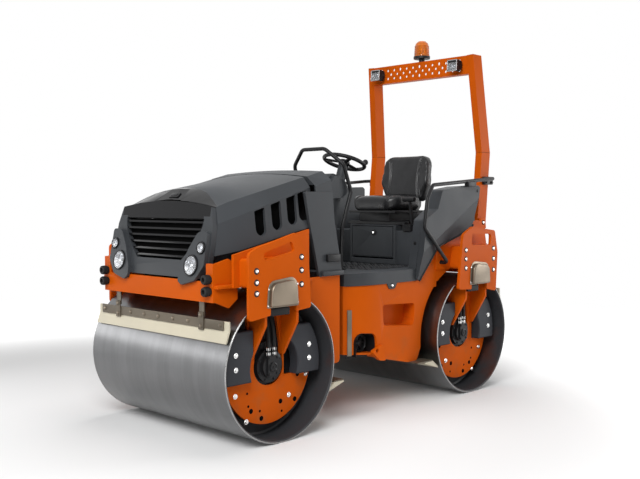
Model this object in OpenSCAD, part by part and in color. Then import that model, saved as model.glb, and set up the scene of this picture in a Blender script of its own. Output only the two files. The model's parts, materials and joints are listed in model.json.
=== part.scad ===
// Tandem road roller: two steel drums under a front and a rear frame that are hinged in the middle.
// The engine is under a hood on the front frame, and the operator sits on an open platform on the rear one.
// X points forward, Y to the machine's left and Z up.
// The origin is on the ground, midway between the two axles, under the steering pivot.

/* [Drums] */
// Drum diameter
drum_d = 900; // [880:5:920]
// Drum width
drum_w = 1380; // [1340:10:1420]
// Thickness of the drum shell
drum_wall = 17; // [12:1:25]
// Distance between the axles
wheelbase = 1985; // [1975:5:2040]
// Depth of the drum's web behind the drum's end
web_inset = 210; // [190:5:260]
// Thickness of the drum's web
web_t = 20; // [12:1:30]
// Radius of the drive shaft in the web's hub
shaft_r = 40; // [30:1:50]

/* [Frames] */
// Gap between the top of a drum and the deck above it
deck_gap = 45; // [35:5:60]
// Thickness of the frame plates
plate_t = 20; // [14:1:26]
// Half width of the frame's side walls
frame_half = 600; // [595:1:620]
// Reach of the bumpers beyond the axles
bumper_reach = 431; // [425:1:450]
// Half width of the bumpers
bumper_half = 563; // [550:1:570]
// Length of the rubber buffers
buffer_l = 46; // [30:1:60]
// Radius of the holes in the tie-down lugs
lug_hole_r = 14; // [10:1:20]

/* [Yokes] */
// Gap between the drum's end and the yoke plate
yoke_gap = 13; // [8:1:25]
// Thickness of the yoke plate
yoke_t = 22; // [16:1:30]
// Depth of the carrier plate inside the drum's end
carrier_inset = 130; // [110:5:150]
// Radius of the carrier plate
carrier_r = 355; // [320:5:380]
// Radius of the opening around the drive motor
motor_hole_r = 120; // [105:1:130]
// Height of the pressed covers on the yoke plates
cover_t = 28; // [15:1:40]

/* [Steering joint] */
// Steering angle to each side
steer_angle = 32; // [20:1:34]
// Height of the roll axis between the frames
roll_z = 600; // [590:1:610]
// Radius of the steering pin
pivot_r = 35; // [25:1:40]
// Radius of the roll shaft
roll_r = 45; // [35:1:50]
// Radius of the rear frame's nose about the steering pin
swing_r = 590; // [575:1:592]
// Distance from the steering pin to the rear frame's front face
nose_x = 280; // [250:1:290]

/* [Hood] */
// Thickness of the hood's shell
hood_t = 15; // [8:1:20]
// Height of the hood's lip above the deck, at the front
lip_rise = 175; // [165:1:190]
// Height of the hood's crease above the deck, at the nose
crease_rise = 450; // [440:1:470]
// Number of grille slats
slats = 6; // [4:1:9]
// Radius of the main headlamps
lamp_r = 64; // [50:1:68]
// Radius of the small headlamps
small_lamp_r = 38; // [28:1:40]

/* [Operator's place] */
// Thickness of the platform's floor plate
floor_t = 20; // [12:1:26]
// Depth of the skirt under the platform's floor
skirt_h = 85; // [60:5:100]
// Diameter of the steering wheel at the middle of its rim
wheel_d = 310; // [280:5:340]
// Height of the steering wheel's centre above the deck
wheel_rise = 780; // [750:5:800]
// Radius of the handrail tubes
rail_r = 14; // [11:1:17]
// Width of the seat
seat_w = 500; // [440:10:520]
// Height of the seat's top above the deck
seat_rise = 510; // [490:5:530]

/* [Rollover frame] */
// Width of a post across the machine
post_w = 58; // [45:1:70]
// Width of a post along the machine
post_d = 114; // [90:1:130]
// Height of the cross beam
beam_h = 145; // [120:5:160]
// Height of the rollover frame above the deck
rops_rise = 1630; // [1560:10:1680]
// Diameter of the beacon's lens
beacon_d = 128; // [100:2:140]

/* [Hidden] */
$fn = 64;

// Paint and trim colours
orange = [0.84, 0.36, 0.05];
dark_grey = [0.22, 0.23, 0.24];
near_black = [0.05, 0.05, 0.055];
steel = [0.62, 0.63, 0.64];
zinc = [0.58, 0.54, 0.46];
cream = [0.83, 0.78, 0.62];
amber = [0.95, 0.45, 0.05];
red = [0.7, 0.04, 0.03];

// Clearances: a seat that is only just apart, and room between moving pieces
seat_gap = 0.3;
run_gap = 6;

// Axles, decks and the planes of the yokes
axle_x = wheelbase / 2;
axle_z = drum_d / 2;
drum_half = drum_w / 2;
deck_under = drum_d + deck_gap;
deck_z = deck_under + plate_t;
arch_r = axle_z + deck_gap;
spacer_min = 90;
yoke_in = max(drum_half + yoke_gap, frame_half + spacer_min);
yoke_out = yoke_in + yoke_t;
carrier_out = drum_half - carrier_inset;
carrier_in = carrier_out - plate_t;
web_out = drum_half - web_inset;
drum_in_r = axle_z - drum_wall;

// Bumpers
bumper_x = axle_x + bumper_reach;
bumper_low = deck_z - 99;
bumper_mid = deck_z + 20;
bumper_high = deck_z + 125;
bumper_post = bumper_half - 63;
front_cheek = 166;
rear_cheek = 60;

// Hood lines: each is a height at a place along the machine
hood_half = frame_half - 40;
nose_half = bumper_post;
hood_rear = 605;
cowl_front = 585;
cowl_rear = 440;
nose_top_x = axle_x + 349;
nose_top_z = deck_z + crease_rise;
nose_tilt = 10.15;
nose_t = 35;
nose_crown = 40;
function lip_z(x) = deck_z + lip_rise + (axle_x + 301 - x) * 0.22;
function bevel_z(x) = deck_z + crease_rise - 107 + (axle_x + 381 - x) * 0.30;
function crease_z(x) = nose_top_z + (nose_top_x - x) * 0.257;
function crown_z(x) = deck_z + crease_rise + 105 + (axle_x + 278 - x) * 0.171;
function nose_plane_x(z) = nose_top_x + (nose_top_z - z) * tan(nose_tilt);

// Hinge of the hood, under the skin and ahead of its rear edge
hinge_x = hood_rear + 120;
hinge_pin_r = 8;
hinge_eye_r = 12;
hinge_z = crown_z(hinge_x) - hood_t - hinge_eye_r - 8;
hinge_y = 120;
hinge_lug_y = 60;

// Steering joint
lug_t = 30;
block_half = 100;
block_r = 62;
tongue_half = 100;
housing_r = 82;
housing_x0 = 130;
housing_x1 = 360;
tunnel_half = tan(steer_angle) * nose_x + tongue_half / cos(steer_angle) + 45;

// Rear frame, platform and what stands on it
skirt_low = deck_z - skirt_h;
beam_low = skirt_low - 60;
floor_under = deck_z - floor_t;
wall_x = -150;
floor_rear = -640;
seat_box_x = -620;
seat_box_rear = -1090;
seat_box_half = 235;
seat_box_top = deck_z + 305;
side_box_top = deck_z + 260;
skirt_out = 8;
skirt_rear = -471;
haunch_rear = -830;
fender_in = frame_half - 70;
fender_seat = max(frame_half, swing_r + skirt_out) + seat_gap;
fender_out = fender_seat + 49.7;

// Rollover frame: the posts' front edge at the foot, the kink and the top
post_foot = [-1190, deck_z];
post_kink = [-1275, deck_z + 870];
post_top = [-1190, deck_z + rops_rise];
post_in = frame_half - 88;
post_in_top = post_in - 32;
tank_rear = -1385;
tank_half = post_in - 12;

// Steering column
column_tilt = 19.6;
wheel_x = -298;
wheel_z = deck_z + wheel_rise;

// Round corners: a point may carry a third number, the radius of its corner
function unit(v) = v / norm(v);
function flat(p) = [p[0], p[1]];
function corner(a, p, b, r, n) =
    let (u = unit(a - p), v = unit(b - p), half = acos(u * v) / 2)
    let (t = min(r / tan(half), 0.49 * min(norm(a - p), norm(b - p))), rr = t * tan(half))
    let (c = p + unit(u + v) * rr / sin(half), s = p + u * t - c, e = p + v * t - c)
    let (a0 = atan2(s[1], s[0]), turn = (atan2(e[1], e[0]) - a0 + 540) % 360 - 180)
    [for (i = [0:n]) c + rr * [cos(a0 + turn * i / n), sin(a0 + turn * i / n)]];
function rounded(pts, n = 5) =
    let (m = len(pts))
    [for (i = [0:m - 1])
        let (p = pts[i], a = flat(pts[(i + m - 1) % m]), b = flat(pts[(i + 1) % m]))
        each (len(p) > 2 ? corner(a, flat(p), b, p[2], n) : [p])];
function box_points(x0, y0, x1, y1, r) = [[x0, y0, r], [x1, y0, r], [x1, y1, r], [x0, y1, r]];

// Flat outlines made solid along each axis
module along_x(x0, x1) { translate([x0, 0, 0]) rotate([90, 0, 90]) linear_extrude(x1 - x0) children(); }
module along_y(y0, y1) { translate([0, y1, 0]) rotate([90, 0, 0]) linear_extrude(y1 - y0) children(); }
module along_z(z0, z1) { translate([0, 0, z0]) linear_extrude(z1 - z0) children(); }
module block(x0, x1, y0, y1, z0, z1) { translate([x0, y0, z0]) cube([x1 - x0, y1 - y0, z1 - z0]); }
module both_sides() { children(); mirror([0, 1, 0]) children(); }
module axle_rod(r, y0, y1) { translate([axle_x, y1, axle_z]) rotate([90, 0, 0]) cylinder(r = r, h = y1 - y0); }
module rod_y(x, z, r, y0, y1) { translate([x, y1, z]) rotate([90, 0, 0]) cylinder(r = r, h = y1 - y0); }
module rod_x(y, z, r, x0, x1) { translate([x0, y, z]) rotate([0, 90, 0]) cylinder(r = r, h = x1 - x0); }

// A round tube swept along points, with a bend at each
function turn_at(p, i) = acos(unit(p[i] - p[i - 1]) * unit(p[i + 1] - p[i]));
function bend_steps(p, i, bend, n) =
    let (u = unit(p[i] - p[i - 1]), v = unit(p[i + 1] - p[i]), n0 = unit(v - u * (u * v)), turn = turn_at(p, i))
    let (c = p[i] - u * bend * tan(turn / 2) + n0 * bend)
    [for (k = [0:n]) let (a = turn * k / n) [c - n0 * bend * cos(a) + u * bend * sin(a), u * cos(a) + n0 * sin(a)]];
function route(p, bend, n = 4) = concat([[p[0], unit(p[1] - p[0])]],
    [for (i = [1:1:len(p) - 2]) each bend_steps(p, i, bend, n)],
    [[p[len(p) - 1], unit(p[len(p) - 1] - p[len(p) - 2])]]);
function across(steps, i, w) = i == len(steps) ? []
    : let (d = steps[i][1], next = unit(w - d * (w * d))) concat([next], across(steps, i + 1, next));
module pipe(p, r, bend, sides = 14) {
    steps = route(p, bend);
    d0 = steps[0][1];
    side = across(steps, 0, abs(d0[0]) > 0.9 ? [0, 1, 0.1] : [1, 0.1, 0.2]);
    loft([for (i = [0:len(steps) - 1]) [for (k = [0:sides - 1]) let (a = 360 * k / sides)
        steps[i][0] + r * (cos(a) * side[i] + sin(a) * cross(steps[i][1], side[i]))]]);
}

// A closed skin through rings of points that all have the same count
module loft(rings) {
    n = len(rings[0]);
    m = len(rings);
    points = [for (ring = rings) each ring];
    sides = [for (k = [0:m - 2], i = [0:n - 1])
        let (j = (i + 1) % n)
        each [[k * n + i, (k + 1) * n + j, k * n + j], [k * n + i, (k + 1) * n + i, (k + 1) * n + j]]];
    first = [[for (i = [0:n - 1]) i]];
    last = [[for (i = [0:n - 1]) m * n - 1 - i]];
    polyhedron(points, concat(first, sides, last));
}

// Drums
module drum() {
    color(steel) difference() {
        axle_rod(axle_z, -drum_half, drum_half);
        both_sides() axle_rod(drum_in_r, web_out, drum_half + 1);
        axle_rod(drum_in_r, -(web_out - web_t), web_out - web_t);
        axle_rod(shaft_r + seat_gap, -drum_half, drum_half);
    }
}
module front_drum() { drum(); }
module rear_drum() { mirror([1, 0, 0]) drum(); }

// Yokes: outlines are measured outward from the axle and up from the deck
front_plate = [[297, -207, 20], [297, 186, 30], [232, 216, 40], [-97, 301, 40], [-185, 119, 60], [-205, -162, 20],
    [-79, -174, 12], [-79, -115, 40], [130, -115, 40], [130, -183, 12]];
rear_plate = [[257, -208, 20], [277, 95, 60], [237, 262, 25], [-60, 296, 30], [-181, 240, 40], [-236, -165, 20],
    [-70, -174, 12], [-70, -115, 40], [130, -115, 40], [130, -183, 12]];
front_window = [[184, 186, 16], [-41, 246, 16], [-68, 187, 16], [181, 140, 16]];
rear_window = [[186, 236, 16], [-68, 240, 16], [-74, 160, 16], [180, 150, 16]];
rib_places = [-108, 150];
rib_low = 62;
module yoke_outline(points) { translate([axle_x, deck_z]) polygon(rounded(points)); }
spacer_front = 262;
spacer_rear = -180;
spacer_top = 150;
module yoke_spacer() {
    translate([axle_x, deck_z]) difference() {
        polygon(rounded([[spacer_front, -plate_t, 20], [spacer_front, spacer_top, 20], [-150, spacer_top, 20],
            [spacer_rear, -plate_t, 20]]));
        polygon(rounded([[236, 6, 16], [236, 124, 16], [-128, 124, 16], [-148, 6, 16]]));
    }
}
module rib() {
    top = axle_z + sqrt(pow(drum_in_r - 25, 2) - pow(rib_places[1] + plate_t, 2));
    polygon([[yoke_in, top], [yoke_in, deck_z - 245], [carrier_out + 20, axle_z + rib_low], [carrier_in, axle_z + rib_low],
        [carrier_in, top]]);
}
module carrier_outline() {
    top = axle_z + sqrt(pow(drum_in_r - 25, 2) - pow(rib_places[1] + plate_t, 2));
    neck = 62;
    difference() {
        union() {
            intersection() {
                translate([axle_x, axle_z]) circle(carrier_r);
                translate([axle_x - carrier_r, axle_z - carrier_r]) square([2 * carrier_r, carrier_r - 72]);
            }
            translate([axle_x + rib_places[0] - plate_t, axle_z - carrier_r / 2])
                square([rib_places[1] - rib_places[0] + 2 * plate_t, top - axle_z + carrier_r / 2]);
        }
        translate([axle_x, axle_z]) circle(motor_hole_r);
        translate([axle_x, axle_z]) polygon([[-motor_hole_r * 0.98, motor_hole_r * 0.2], [motor_hole_r * 0.98,
            motor_hole_r * 0.2], [neck + 20, top - axle_z - 60], [-neck, top - axle_z - 60]]);
    }
}
module yoke(plate, window) {
    color(orange) union() {
        along_y(yoke_in, yoke_out) difference() {
            yoke_outline(plate);
            yoke_outline(window);
        }
        along_y(frame_half, yoke_in) yoke_spacer();
        for (x = rib_places) along_x(axle_x + x - plate_t / 2, axle_x + x + plate_t / 2) rib();
        along_y(carrier_in, carrier_out) carrier_outline();
    }
}
module front_yoke_left() { yoke(front_plate, front_window); }
module front_yoke_right() { mirror([0, 1, 0]) yoke(front_plate, front_window); }
module rear_yoke_left() { mirror([1, 0, 0]) yoke(rear_plate, rear_window); }
module rear_yoke_right() { mirror([1, 0, 0]) mirror([0, 1, 0]) yoke(rear_plate, rear_window); }

// Drive motors on the carriers: a flange, a body in the opening, a port block and the shaft
module motor() {
    axle_rod(motor_hole_r + 25, carrier_in - 22, carrier_in);
    axle_rod(shaft_r, web_out - web_t - 8, carrier_in - 22);
    axle_rod(motor_hole_r - 18, carrier_in, carrier_out + 12);
    axle_rod(motor_hole_r - 48, carrier_out + 12, carrier_out + 34);
    along_y(carrier_out + 12, carrier_out + 46) translate([axle_x, axle_z])
        polygon(rounded(box_points(-42, -58, 42, 64, 10)));
}
module motors() { color(near_black) both_sides() motor(); }
module front_motors() { motors(); }
module rear_motors() { mirror([1, 0, 0]) motors(); }

// Dark weights beside the carriers, each a piece of a ring above the carrier's flat edge
weight_in_r = 195;
weight_out_r = 385;
weight_t = 80;
module weight_outline(side) {
    edge = side > 0 ? rib_places[1] : -rib_places[0];
    intersection() {
        difference() {
            circle(weight_out_r);
            circle(weight_in_r);
        }
        mirror([side > 0 ? 0 : 1, 0]) translate([edge + plate_t + seat_gap, -72 + seat_gap])
            square([weight_out_r, 312]);
    }
}
module weights() {
    color(dark_grey) both_sides() along_y(carrier_in, carrier_in + weight_t)
        for (side = [-1, 1]) translate([axle_x, axle_z]) weight_outline(side);
}
module front_weights() { weights(); }
module rear_weights() { mirror([1, 0, 0]) weights(); }

// Pressed covers on the yoke plates
module covers() {
    outline = [[-95, -140, 8], [162, -140, 8], [150, 16, 58], [-82, 40, 58]];
    color(zinc) both_sides() along_y(yoke_out, yoke_out + cover_t) translate([axle_x, deck_z])
        polygon(rounded(outline));
}
module front_covers() { covers(); }
module rear_covers() { mirror([1, 0, 0]) covers(); }

// Scrapers: an outer bar before its blade, on arms behind the bumper, and an inner bar under the frame
bar_t = 8;
outer_bar_z = axle_z + 262;
outer_bar_h = 56;
inner_low = axle_z - 156;
arm_y = 410;
arm_w = 46;
arm_lap = 12;
blade_half = drum_half - 20;
blade_t = 12;
blade_gap = 8;
blade_rise = 190;
module outer_scraper() {
    arm_x = bumper_x - plate_t;
    bar_top = outer_bar_z + outer_bar_h;
    both_sides() {
        block(arm_x - bar_t, arm_x, arm_y, arm_y + arm_w, bar_top + arm_lap, bumper_low + 40);
        block(arm_x, arm_x + bar_t, arm_y, arm_y + arm_w, outer_bar_z - arm_lap, bar_top + 3 * arm_lap);
    }
    block(arm_x - bar_t, arm_x, -(drum_half - 60), drum_half - 60, outer_bar_z, bar_top);
}
strip_x = axle_x - 560;
strip_w = 90;
hang_t = 16;
strip_half = max(blade_half, frame_half - 35);
module inner_strip(x0) { block(x0, strip_x + strip_w, -strip_half, strip_half, inner_low, inner_low + bar_t); }
module inner_hangers(hang_z) {
    both_sides() block(strip_x + 30, strip_x + 60, cheek_out - 2 - hang_t, cheek_out - 2, inner_low + bar_t, hang_z);
}
module outer_blade() {
    x = bumper_x - plate_t - bar_t;
    top = outer_bar_z + outer_bar_h - 4;
    tip = [axle_x + sqrt(pow(axle_z, 2) - pow(blade_rise, 2)) + blade_gap, axle_z + blade_rise];
    along_y(-blade_half, blade_half) polygon([[x - blade_t, top], [x, top], [x, outer_bar_z], tip + [blade_t, 0], tip,
        [x - blade_t, outer_bar_z - 2]]);
}
module inner_blade() {
    tip = [axle_x - 410, axle_z - 212];
    root = [strip_x, inner_low];
    along_y(-blade_half, blade_half) polygon([root, root + [strip_w, 0], tip + [0, blade_t], tip,
        root + [10, -blade_t], root + [0, -blade_t]]);
}
module front_scrapers() {
    color(zinc) {
        outer_scraper();
        inner_strip(strip_x);
        inner_hangers(side_low);
    }
}
module rear_scrapers() {
    color(zinc) mirror([1, 0, 0]) {
        outer_scraper();
        inner_strip(strip_x - strip_w);
    }
}
module front_blades() { color(cream) { outer_blade(); inner_blade(); } }
module rear_blades() { color(cream) mirror([1, 0, 0]) { outer_blade(); inner_blade(); } }

// Rubber buffers on the bumpers' ends
buffer_r = 29;
buffer_rise = 35;
module buffers() {
    color(near_black) both_sides() for (z = [-buffer_rise, buffer_rise])
        rod_x(bumper_half - buffer_r - 3, deck_z + z, buffer_r, bumper_x, bumper_x + buffer_l);
}
module front_buffers() { buffers(); }
module rear_buffers() { mirror([1, 0, 0]) buffers(); }

// Bumper, deck and side walls, alike at both ends
wall_front = axle_x + 307;
module bumper(depth) {
    along_x(bumper_x - plate_t, bumper_x) polygon([[-bumper_half, bumper_low], [bumper_half, bumper_low],
        [bumper_half, bumper_high], [bumper_post, bumper_high], [bumper_post, bumper_mid],
        [-bumper_post, bumper_mid], [-bumper_post, bumper_high], [-bumper_half, bumper_high]]);
    x = bumper_x - plate_t;
    both_sides() along_y(bumper_half - plate_t, bumper_half) polygon([[x, bumper_low], [x, bumper_high],
        [x - 0.6 * depth, bumper_high + 25], [x - depth, deck_z + 105], [x - depth, deck_z - 88],
        [x - 0.6 * depth, deck_z - 139]]);
}
module end_deck(x0) {
    block(x0, bumper_x - plate_t / 2, -(frame_half - plate_t / 2), frame_half - plate_t / 2, deck_under, deck_z);
}
module wall_outline(top, grow) {
    polygon(concat([[wall_front, deck_under], [top[0][0] - grow, deck_under], [top[0][0] - grow, top[0][1] + grow]],
        [for (p = top) p + [0, grow]]));
}
module side_wall(top) { both_sides() along_y(frame_half - plate_t, frame_half) wall_outline(top, 0); }
front_wall_rear = 680;
front_wall_top = [for (x = [front_wall_rear, wall_front]) [x, lip_z(x) - seat_gap]];
rear_wall_top = [for (p = [[-floor_rear, 206], [1080, 325], [1180, 340], [1262, 320], [wall_front, 165]])
    p + [0, deck_z]];

// Front frame: deck, walls, cheeks beside the drum and the tongue that carries the roll bearing
side_low = axle_z - 63;
cheek_rear = 360;
cheek_out = frame_half - 35;
deck_rear = 640;
module tongue_side() {
    polygon([[housing_x0 + 60, roll_z - 70], [400, roll_z - 70], [470, roll_z - 10], [590, deck_under - 140],
        [700, deck_under], [700, deck_z], [490, deck_z], [housing_x1, roll_z + 78], [housing_x0 + 60, roll_z + 70]]);
}
module front_frame() {
    color(orange) difference() {
        union() {
            end_deck(deck_rear);
            bumper(front_cheek);
            side_wall(front_wall_top);
            both_sides() along_y(cheek_out - plate_t, cheek_out) difference() {
                polygon(rounded([[cheek_rear, side_low, 30], [axle_x - 200, side_low], [axle_x - 200, deck_z],
                    [cheek_rear, deck_z]]));
                translate([axle_x, axle_z]) circle(arch_r);
            }
            along_y(-tongue_half, tongue_half) tongue_side();
            rod_x(0, roll_z, housing_r, housing_x0, housing_x1);
        }
        rod_x(0, roll_z, roll_r + seat_gap, housing_x0 - 1, housing_x1 + run_gap);
    }
}

// The engine and its cooler, as one plain mass under the hood
module engine() {
    color(dark_grey) union() {
        block(700, axle_x + 180, -260, 260, deck_z, deck_z + 300);
        block(760, axle_x + 120, -130, 130, deck_z, deck_z + 400);
        block(axle_x + 210, axle_x + 290, -330, 330, deck_z, deck_z + 360);
        block(axle_x + 150, axle_x + 230, -90, 90, deck_z + 40, deck_z + 200);
    }
}

// Sections of the hood and the cowl: half widths at the lip, bevel and crease, then the crown
function arch_points(yb, ys, yc, zb, zs, zc, zt) =
    let (half = concat([[yb, zb], [ys, zs]], [for (f = [1, 0.8, 0.6, 0.4, 0.2]) [yc * f, zt - (zt - zc) * f * f]]))
    concat(half, [[0, zt]], [for (i = [len(half) - 1:-1:0]) [-half[i][0], half[i][1]]]);
function arch_ring(x, yb, ys, yc, drop, t) =
    [for (p = arch_points(yb - t, ys - t, yc - t, lip_z(x) - drop, bevel_z(x) - 0.4 * t, crease_z(x) - t,
        crown_z(x) - t)) [x, p[0], p[1]]];
function nose_ring(yb, ys, yc, drop, t, back) =
    [for (p = arch_points(yb - t, ys - t, yc - t, lip_z(nose_top_x) - drop, bevel_z(nose_top_x) - 0.4 * t,
        nose_top_z - t, nose_top_z + nose_crown - t)) [nose_plane_x(p[1]) - back, p[0], p[1]]];
function hood_rings(drop, t, back) = [
    arch_ring(540, hood_half, hood_half - 28, hood_half - 86, drop, t),
    arch_ring(800, hood_half, hood_half - 28, hood_half - 90, drop, t),
    arch_ring(1040, hood_half, hood_half - 30, hood_half - 94, drop, t),
    arch_ring(1220, hood_half - 8, hood_half - 38, hood_half - 98, drop, t),
    nose_ring(nose_half, nose_half - 12, nose_half - 48, drop, t, back)];

// Cowl: the fixed panel behind the hood, with its side panels and the wall before the engine
cowl_side = [[690, 543, 10], [645, 333, 60], [560, 0, 12], [344, 0, 12], [372, 132, 80], [420, 358, 80],
    [cowl_rear, 560, 30], [452, 640, 20], [cowl_front, 640], [cowl_front, 580, 20]];
cowl_half = frame_half - 25;
cowl_t = 22;
fire_x = cowl_rear + 20;
fire_t = 12;
module cowl_arch(t) {
    rings = [for (x = [cowl_rear, cowl_front])
        [for (p = arch_points(cowl_half - t, cowl_half - 12 - t, cowl_half - 93 - t, deck_z + 440, bevel_z(x) - t,
            crease_z(x) - t, crown_z(x) - t)) [x, p[0], p[1]]]];
    loft(rings);
}
module cowl() {
    color(dark_grey) union() {
        difference() {
            cowl_arch(0);
            translate([0, 0, -1]) block(fire_x + fire_t, 700, -(cowl_half - cowl_t), cowl_half - cowl_t, deck_z + 300,
                deck_z + 590);
        }
        both_sides() along_y(cowl_half - cowl_t, cowl_half) translate([0, deck_z]) intersection() {
            polygon(rounded(cowl_side));
            polygon([[0, 0], [800, 0], [800, 545], [0, 545]]);
        }
        along_x(fire_x, fire_x + fire_t) translate([0, deck_z]) polygon([[-(cowl_half - cowl_t), 150],
            [cowl_half - cowl_t, 150], [cowl_half - cowl_t, 441], [-(cowl_half - cowl_t), 441]]);
    }
}

// Hood hinge: two arms on the wall of the cowl that hold the pin under the hood's skin
arm_t = 15;
module hood_hinge() {
    low = hinge_z - 110;
    x0 = fire_x + fire_t;
    color(near_black) union() {
        both_sides() {
            along_y(hinge_y, hinge_y + arm_t) polygon([[x0, low - 110], [x0, low], [hinge_x - hinge_eye_r, low],
                [hinge_x - hinge_eye_r, hinge_z], [hinge_x + hinge_eye_r, hinge_z],
                [hinge_x + hinge_eye_r, low - 30], [x0 + 60, low - 60]]);
            rod_y(hinge_x, hinge_z, hinge_eye_r, hinge_y, hinge_y + arm_t);
        }
        rod_y(hinge_x, hinge_z, hinge_pin_r, -(hinge_y + arm_t), hinge_y + arm_t);
    }
}

// Hood: the lofted shell, cut to the cowl's edge, with its side slots and hinge lugs
slot_half = 40;
slot_low = 0.21;
slot_edge = 8;
slot_places = [1037, 905, 776, 678];
module hood_slot(x) {
    low = lip_z(x) + slot_low * (bevel_z(x) - lip_z(x));
    front = x + slot_half;
    rear = x - slot_half;
    both_sides() along_y(cowl_half - 120, cowl_half) polygon(rounded([[rear, low, slot_half], [front, low, slot_half],
        [front, bevel_z(front) - slot_edge, slot_edge], [rear, bevel_z(rear) - slot_edge, slot_edge]]));
}
module hood() {
    color(dark_grey) difference() {
        union() {
            difference() {
                loft(hood_rings(0, 0, nose_t / cos(nose_tilt)));
                loft(hood_rings(60, hood_t, nose_t / cos(nose_tilt) - 20));
            }
            both_sides() along_y(hinge_lug_y, hinge_lug_y + 20) polygon([[hinge_x - 14, hinge_z - hinge_eye_r],
                [hinge_x + 14, hinge_z - hinge_eye_r], [hinge_x + 60, crown_z(hinge_x + 60) - hood_t + 4],
                [hinge_x - 14, crown_z(hinge_x - 14) - hood_t + 4]]);
        }
        along_y(-(cowl_half + 10), cowl_half + 10) translate([run_gap, deck_z])
            polygon([[0, -10], [560, -10], [645, 333], [690, 543], [hood_rear - run_gap, 543],
                [hood_rear - run_gap, 800], [0, 800]]);
        for (x = slot_places) hood_slot(x);
        rod_y(hinge_x, hinge_z, hinge_pin_r + seat_gap, -(hinge_y), hinge_y);
    }
}

// Nose panel on the hood's front, drawn on the tilted plane of the nose: heights run down from its top corners
grille_top = -70;
grille_low = -322;
grille_half_top = nose_half - 100;
grille_half_low = nose_half - 268;
module on_nose(x0, x1) {
    translate([nose_top_x, 0, nose_top_z]) rotate([0, -nose_tilt, 0]) along_x(x0, x1) children();
}
function grille_half(z) = grille_half_low
    + (grille_half_top - grille_half_low) * sin(90 * (z - grille_low) / (grille_top - grille_low));
module grille_opening(grow) {
    heights = [for (i = [0:6]) grille_low + (grille_top - grille_low) * i / 6];
    right = [for (z = heights) [grille_half(z) + grow, z]];
    polygon(concat(right, [for (i = [6:-1:0]) [-right[i][0], right[i][1]]]));
}
module nose_outline() {
    crown = [for (f = [1, 0.6, 0.2, -0.2, -0.6, -1]) [(nose_half - 48) * f, nose_crown * (1 - f * f)]];
    side = [[nose_half - 90, -425], [nose_half - 6, -360], [nose_half - 6, -200], [nose_half - 12, -110]];
    polygon(concat(crown, [for (i = [3:-1:0]) [-side[i][0], side[i][1]]], side));
}
pod_points = [for (p = [[14, -150, 20], [100, -148, 60], [170, -250, 60], [232, -380, 60], [238, -448, 20],
    [200, -470, 20], [80, -440, 50], [10, -350, 30]]) [nose_half - p[0], p[1], p[2]]];
big_lamp = [nose_half - 127, -352];
small_lamp = [nose_half - 54, -246];
pod_t = 30;
pod_chin = -424;
chin_gap = 12;
lamp_seat = 10;
module pods() { for (s = [0, 1]) mirror([s, 0]) polygon(rounded(pod_points)); }
module nose_panel() {
    color(dark_grey) difference() {
        union() {
            on_nose(-nose_t, 0) nose_outline();
            on_nose(chin_gap, pod_t) pods();
            on_nose(-nose_t, pod_t) difference() {
                pods();
                translate([-nose_half, pod_chin - nose_half]) square([2 * nose_half, nose_half]);
            }
        }
        on_nose(-nose_t - 1, pod_t + 1) difference() {
            grille_opening(0);
            pods();
        }
        on_nose(lamp_seat, pod_t + 1) for (s = [-1, 1]) {
            translate([s * big_lamp[0], big_lamp[1]]) circle(lamp_r + seat_gap);
            translate([s * small_lamp[0], small_lamp[1]]) circle(small_lamp_r + seat_gap);
        }
    }
}
module headlamps() {
    color([0.9, 0.92, 0.94]) for (s = [-1, 1]) on_nose(lamp_seat, pod_t + 6) {
        translate([s * big_lamp[0], big_lamp[1]]) circle(lamp_r);
        translate([s * small_lamp[0], small_lamp[1]]) circle(small_lamp_r);
    }
}

// Grille: a back plate behind the nose panel, with slats in the opening
grille_t = 12;
module grille() {
    pitch = (grille_top - grille_low) / slats;
    color(near_black) union() {
        on_nose(-nose_t - grille_t, -nose_t) grille_opening(18);
        on_nose(-nose_t, -8) difference() {
            intersection() {
                grille_opening(-seat_gap);
                for (i = [0:slats - 1]) translate([-nose_half, grille_low + pitch * (i + 0.5) - 6])
                    square([2 * nose_half, 12]);
            }
            offset_pods();
        }
    }
}
module offset_pods() {
    for (s = [0, 1]) mirror([s, 0]) polygon([for (p = rounded(pod_points)) p + [p[0] < nose_half - 100 ? -seat_gap : 0, 0]]);
}

// Steering joint: a block on the upright pin, with the roll shaft in the front frame's bearing
module joint_block() {
    color(dark_grey) difference() {
        union() {
            translate([0, 0, roll_z - block_half]) cylinder(r = block_r, h = 2 * block_half);
            rod_x(0, roll_z, roll_r + 20, 20, housing_x0 - run_gap);
            rod_x(0, roll_z, roll_r, 20, housing_x1);
        }
        translate([0, 0, roll_z - block_half - 1]) cylinder(r = pivot_r + seat_gap, h = 2 * block_half + 2);
    }
}
lug_gap = 8;
lug_top = roll_z + block_half + lug_gap + lug_t;
lug_bottom = roll_z - block_half - lug_gap - lug_t;
module pivot_pin() {
    color(steel) union() {
        translate([0, 0, lug_bottom]) cylinder(r = pivot_r, h = lug_top - lug_bottom);
        translate([0, 0, lug_top]) cylinder(r = pivot_r + 18, h = 12);
    }
}

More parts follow.
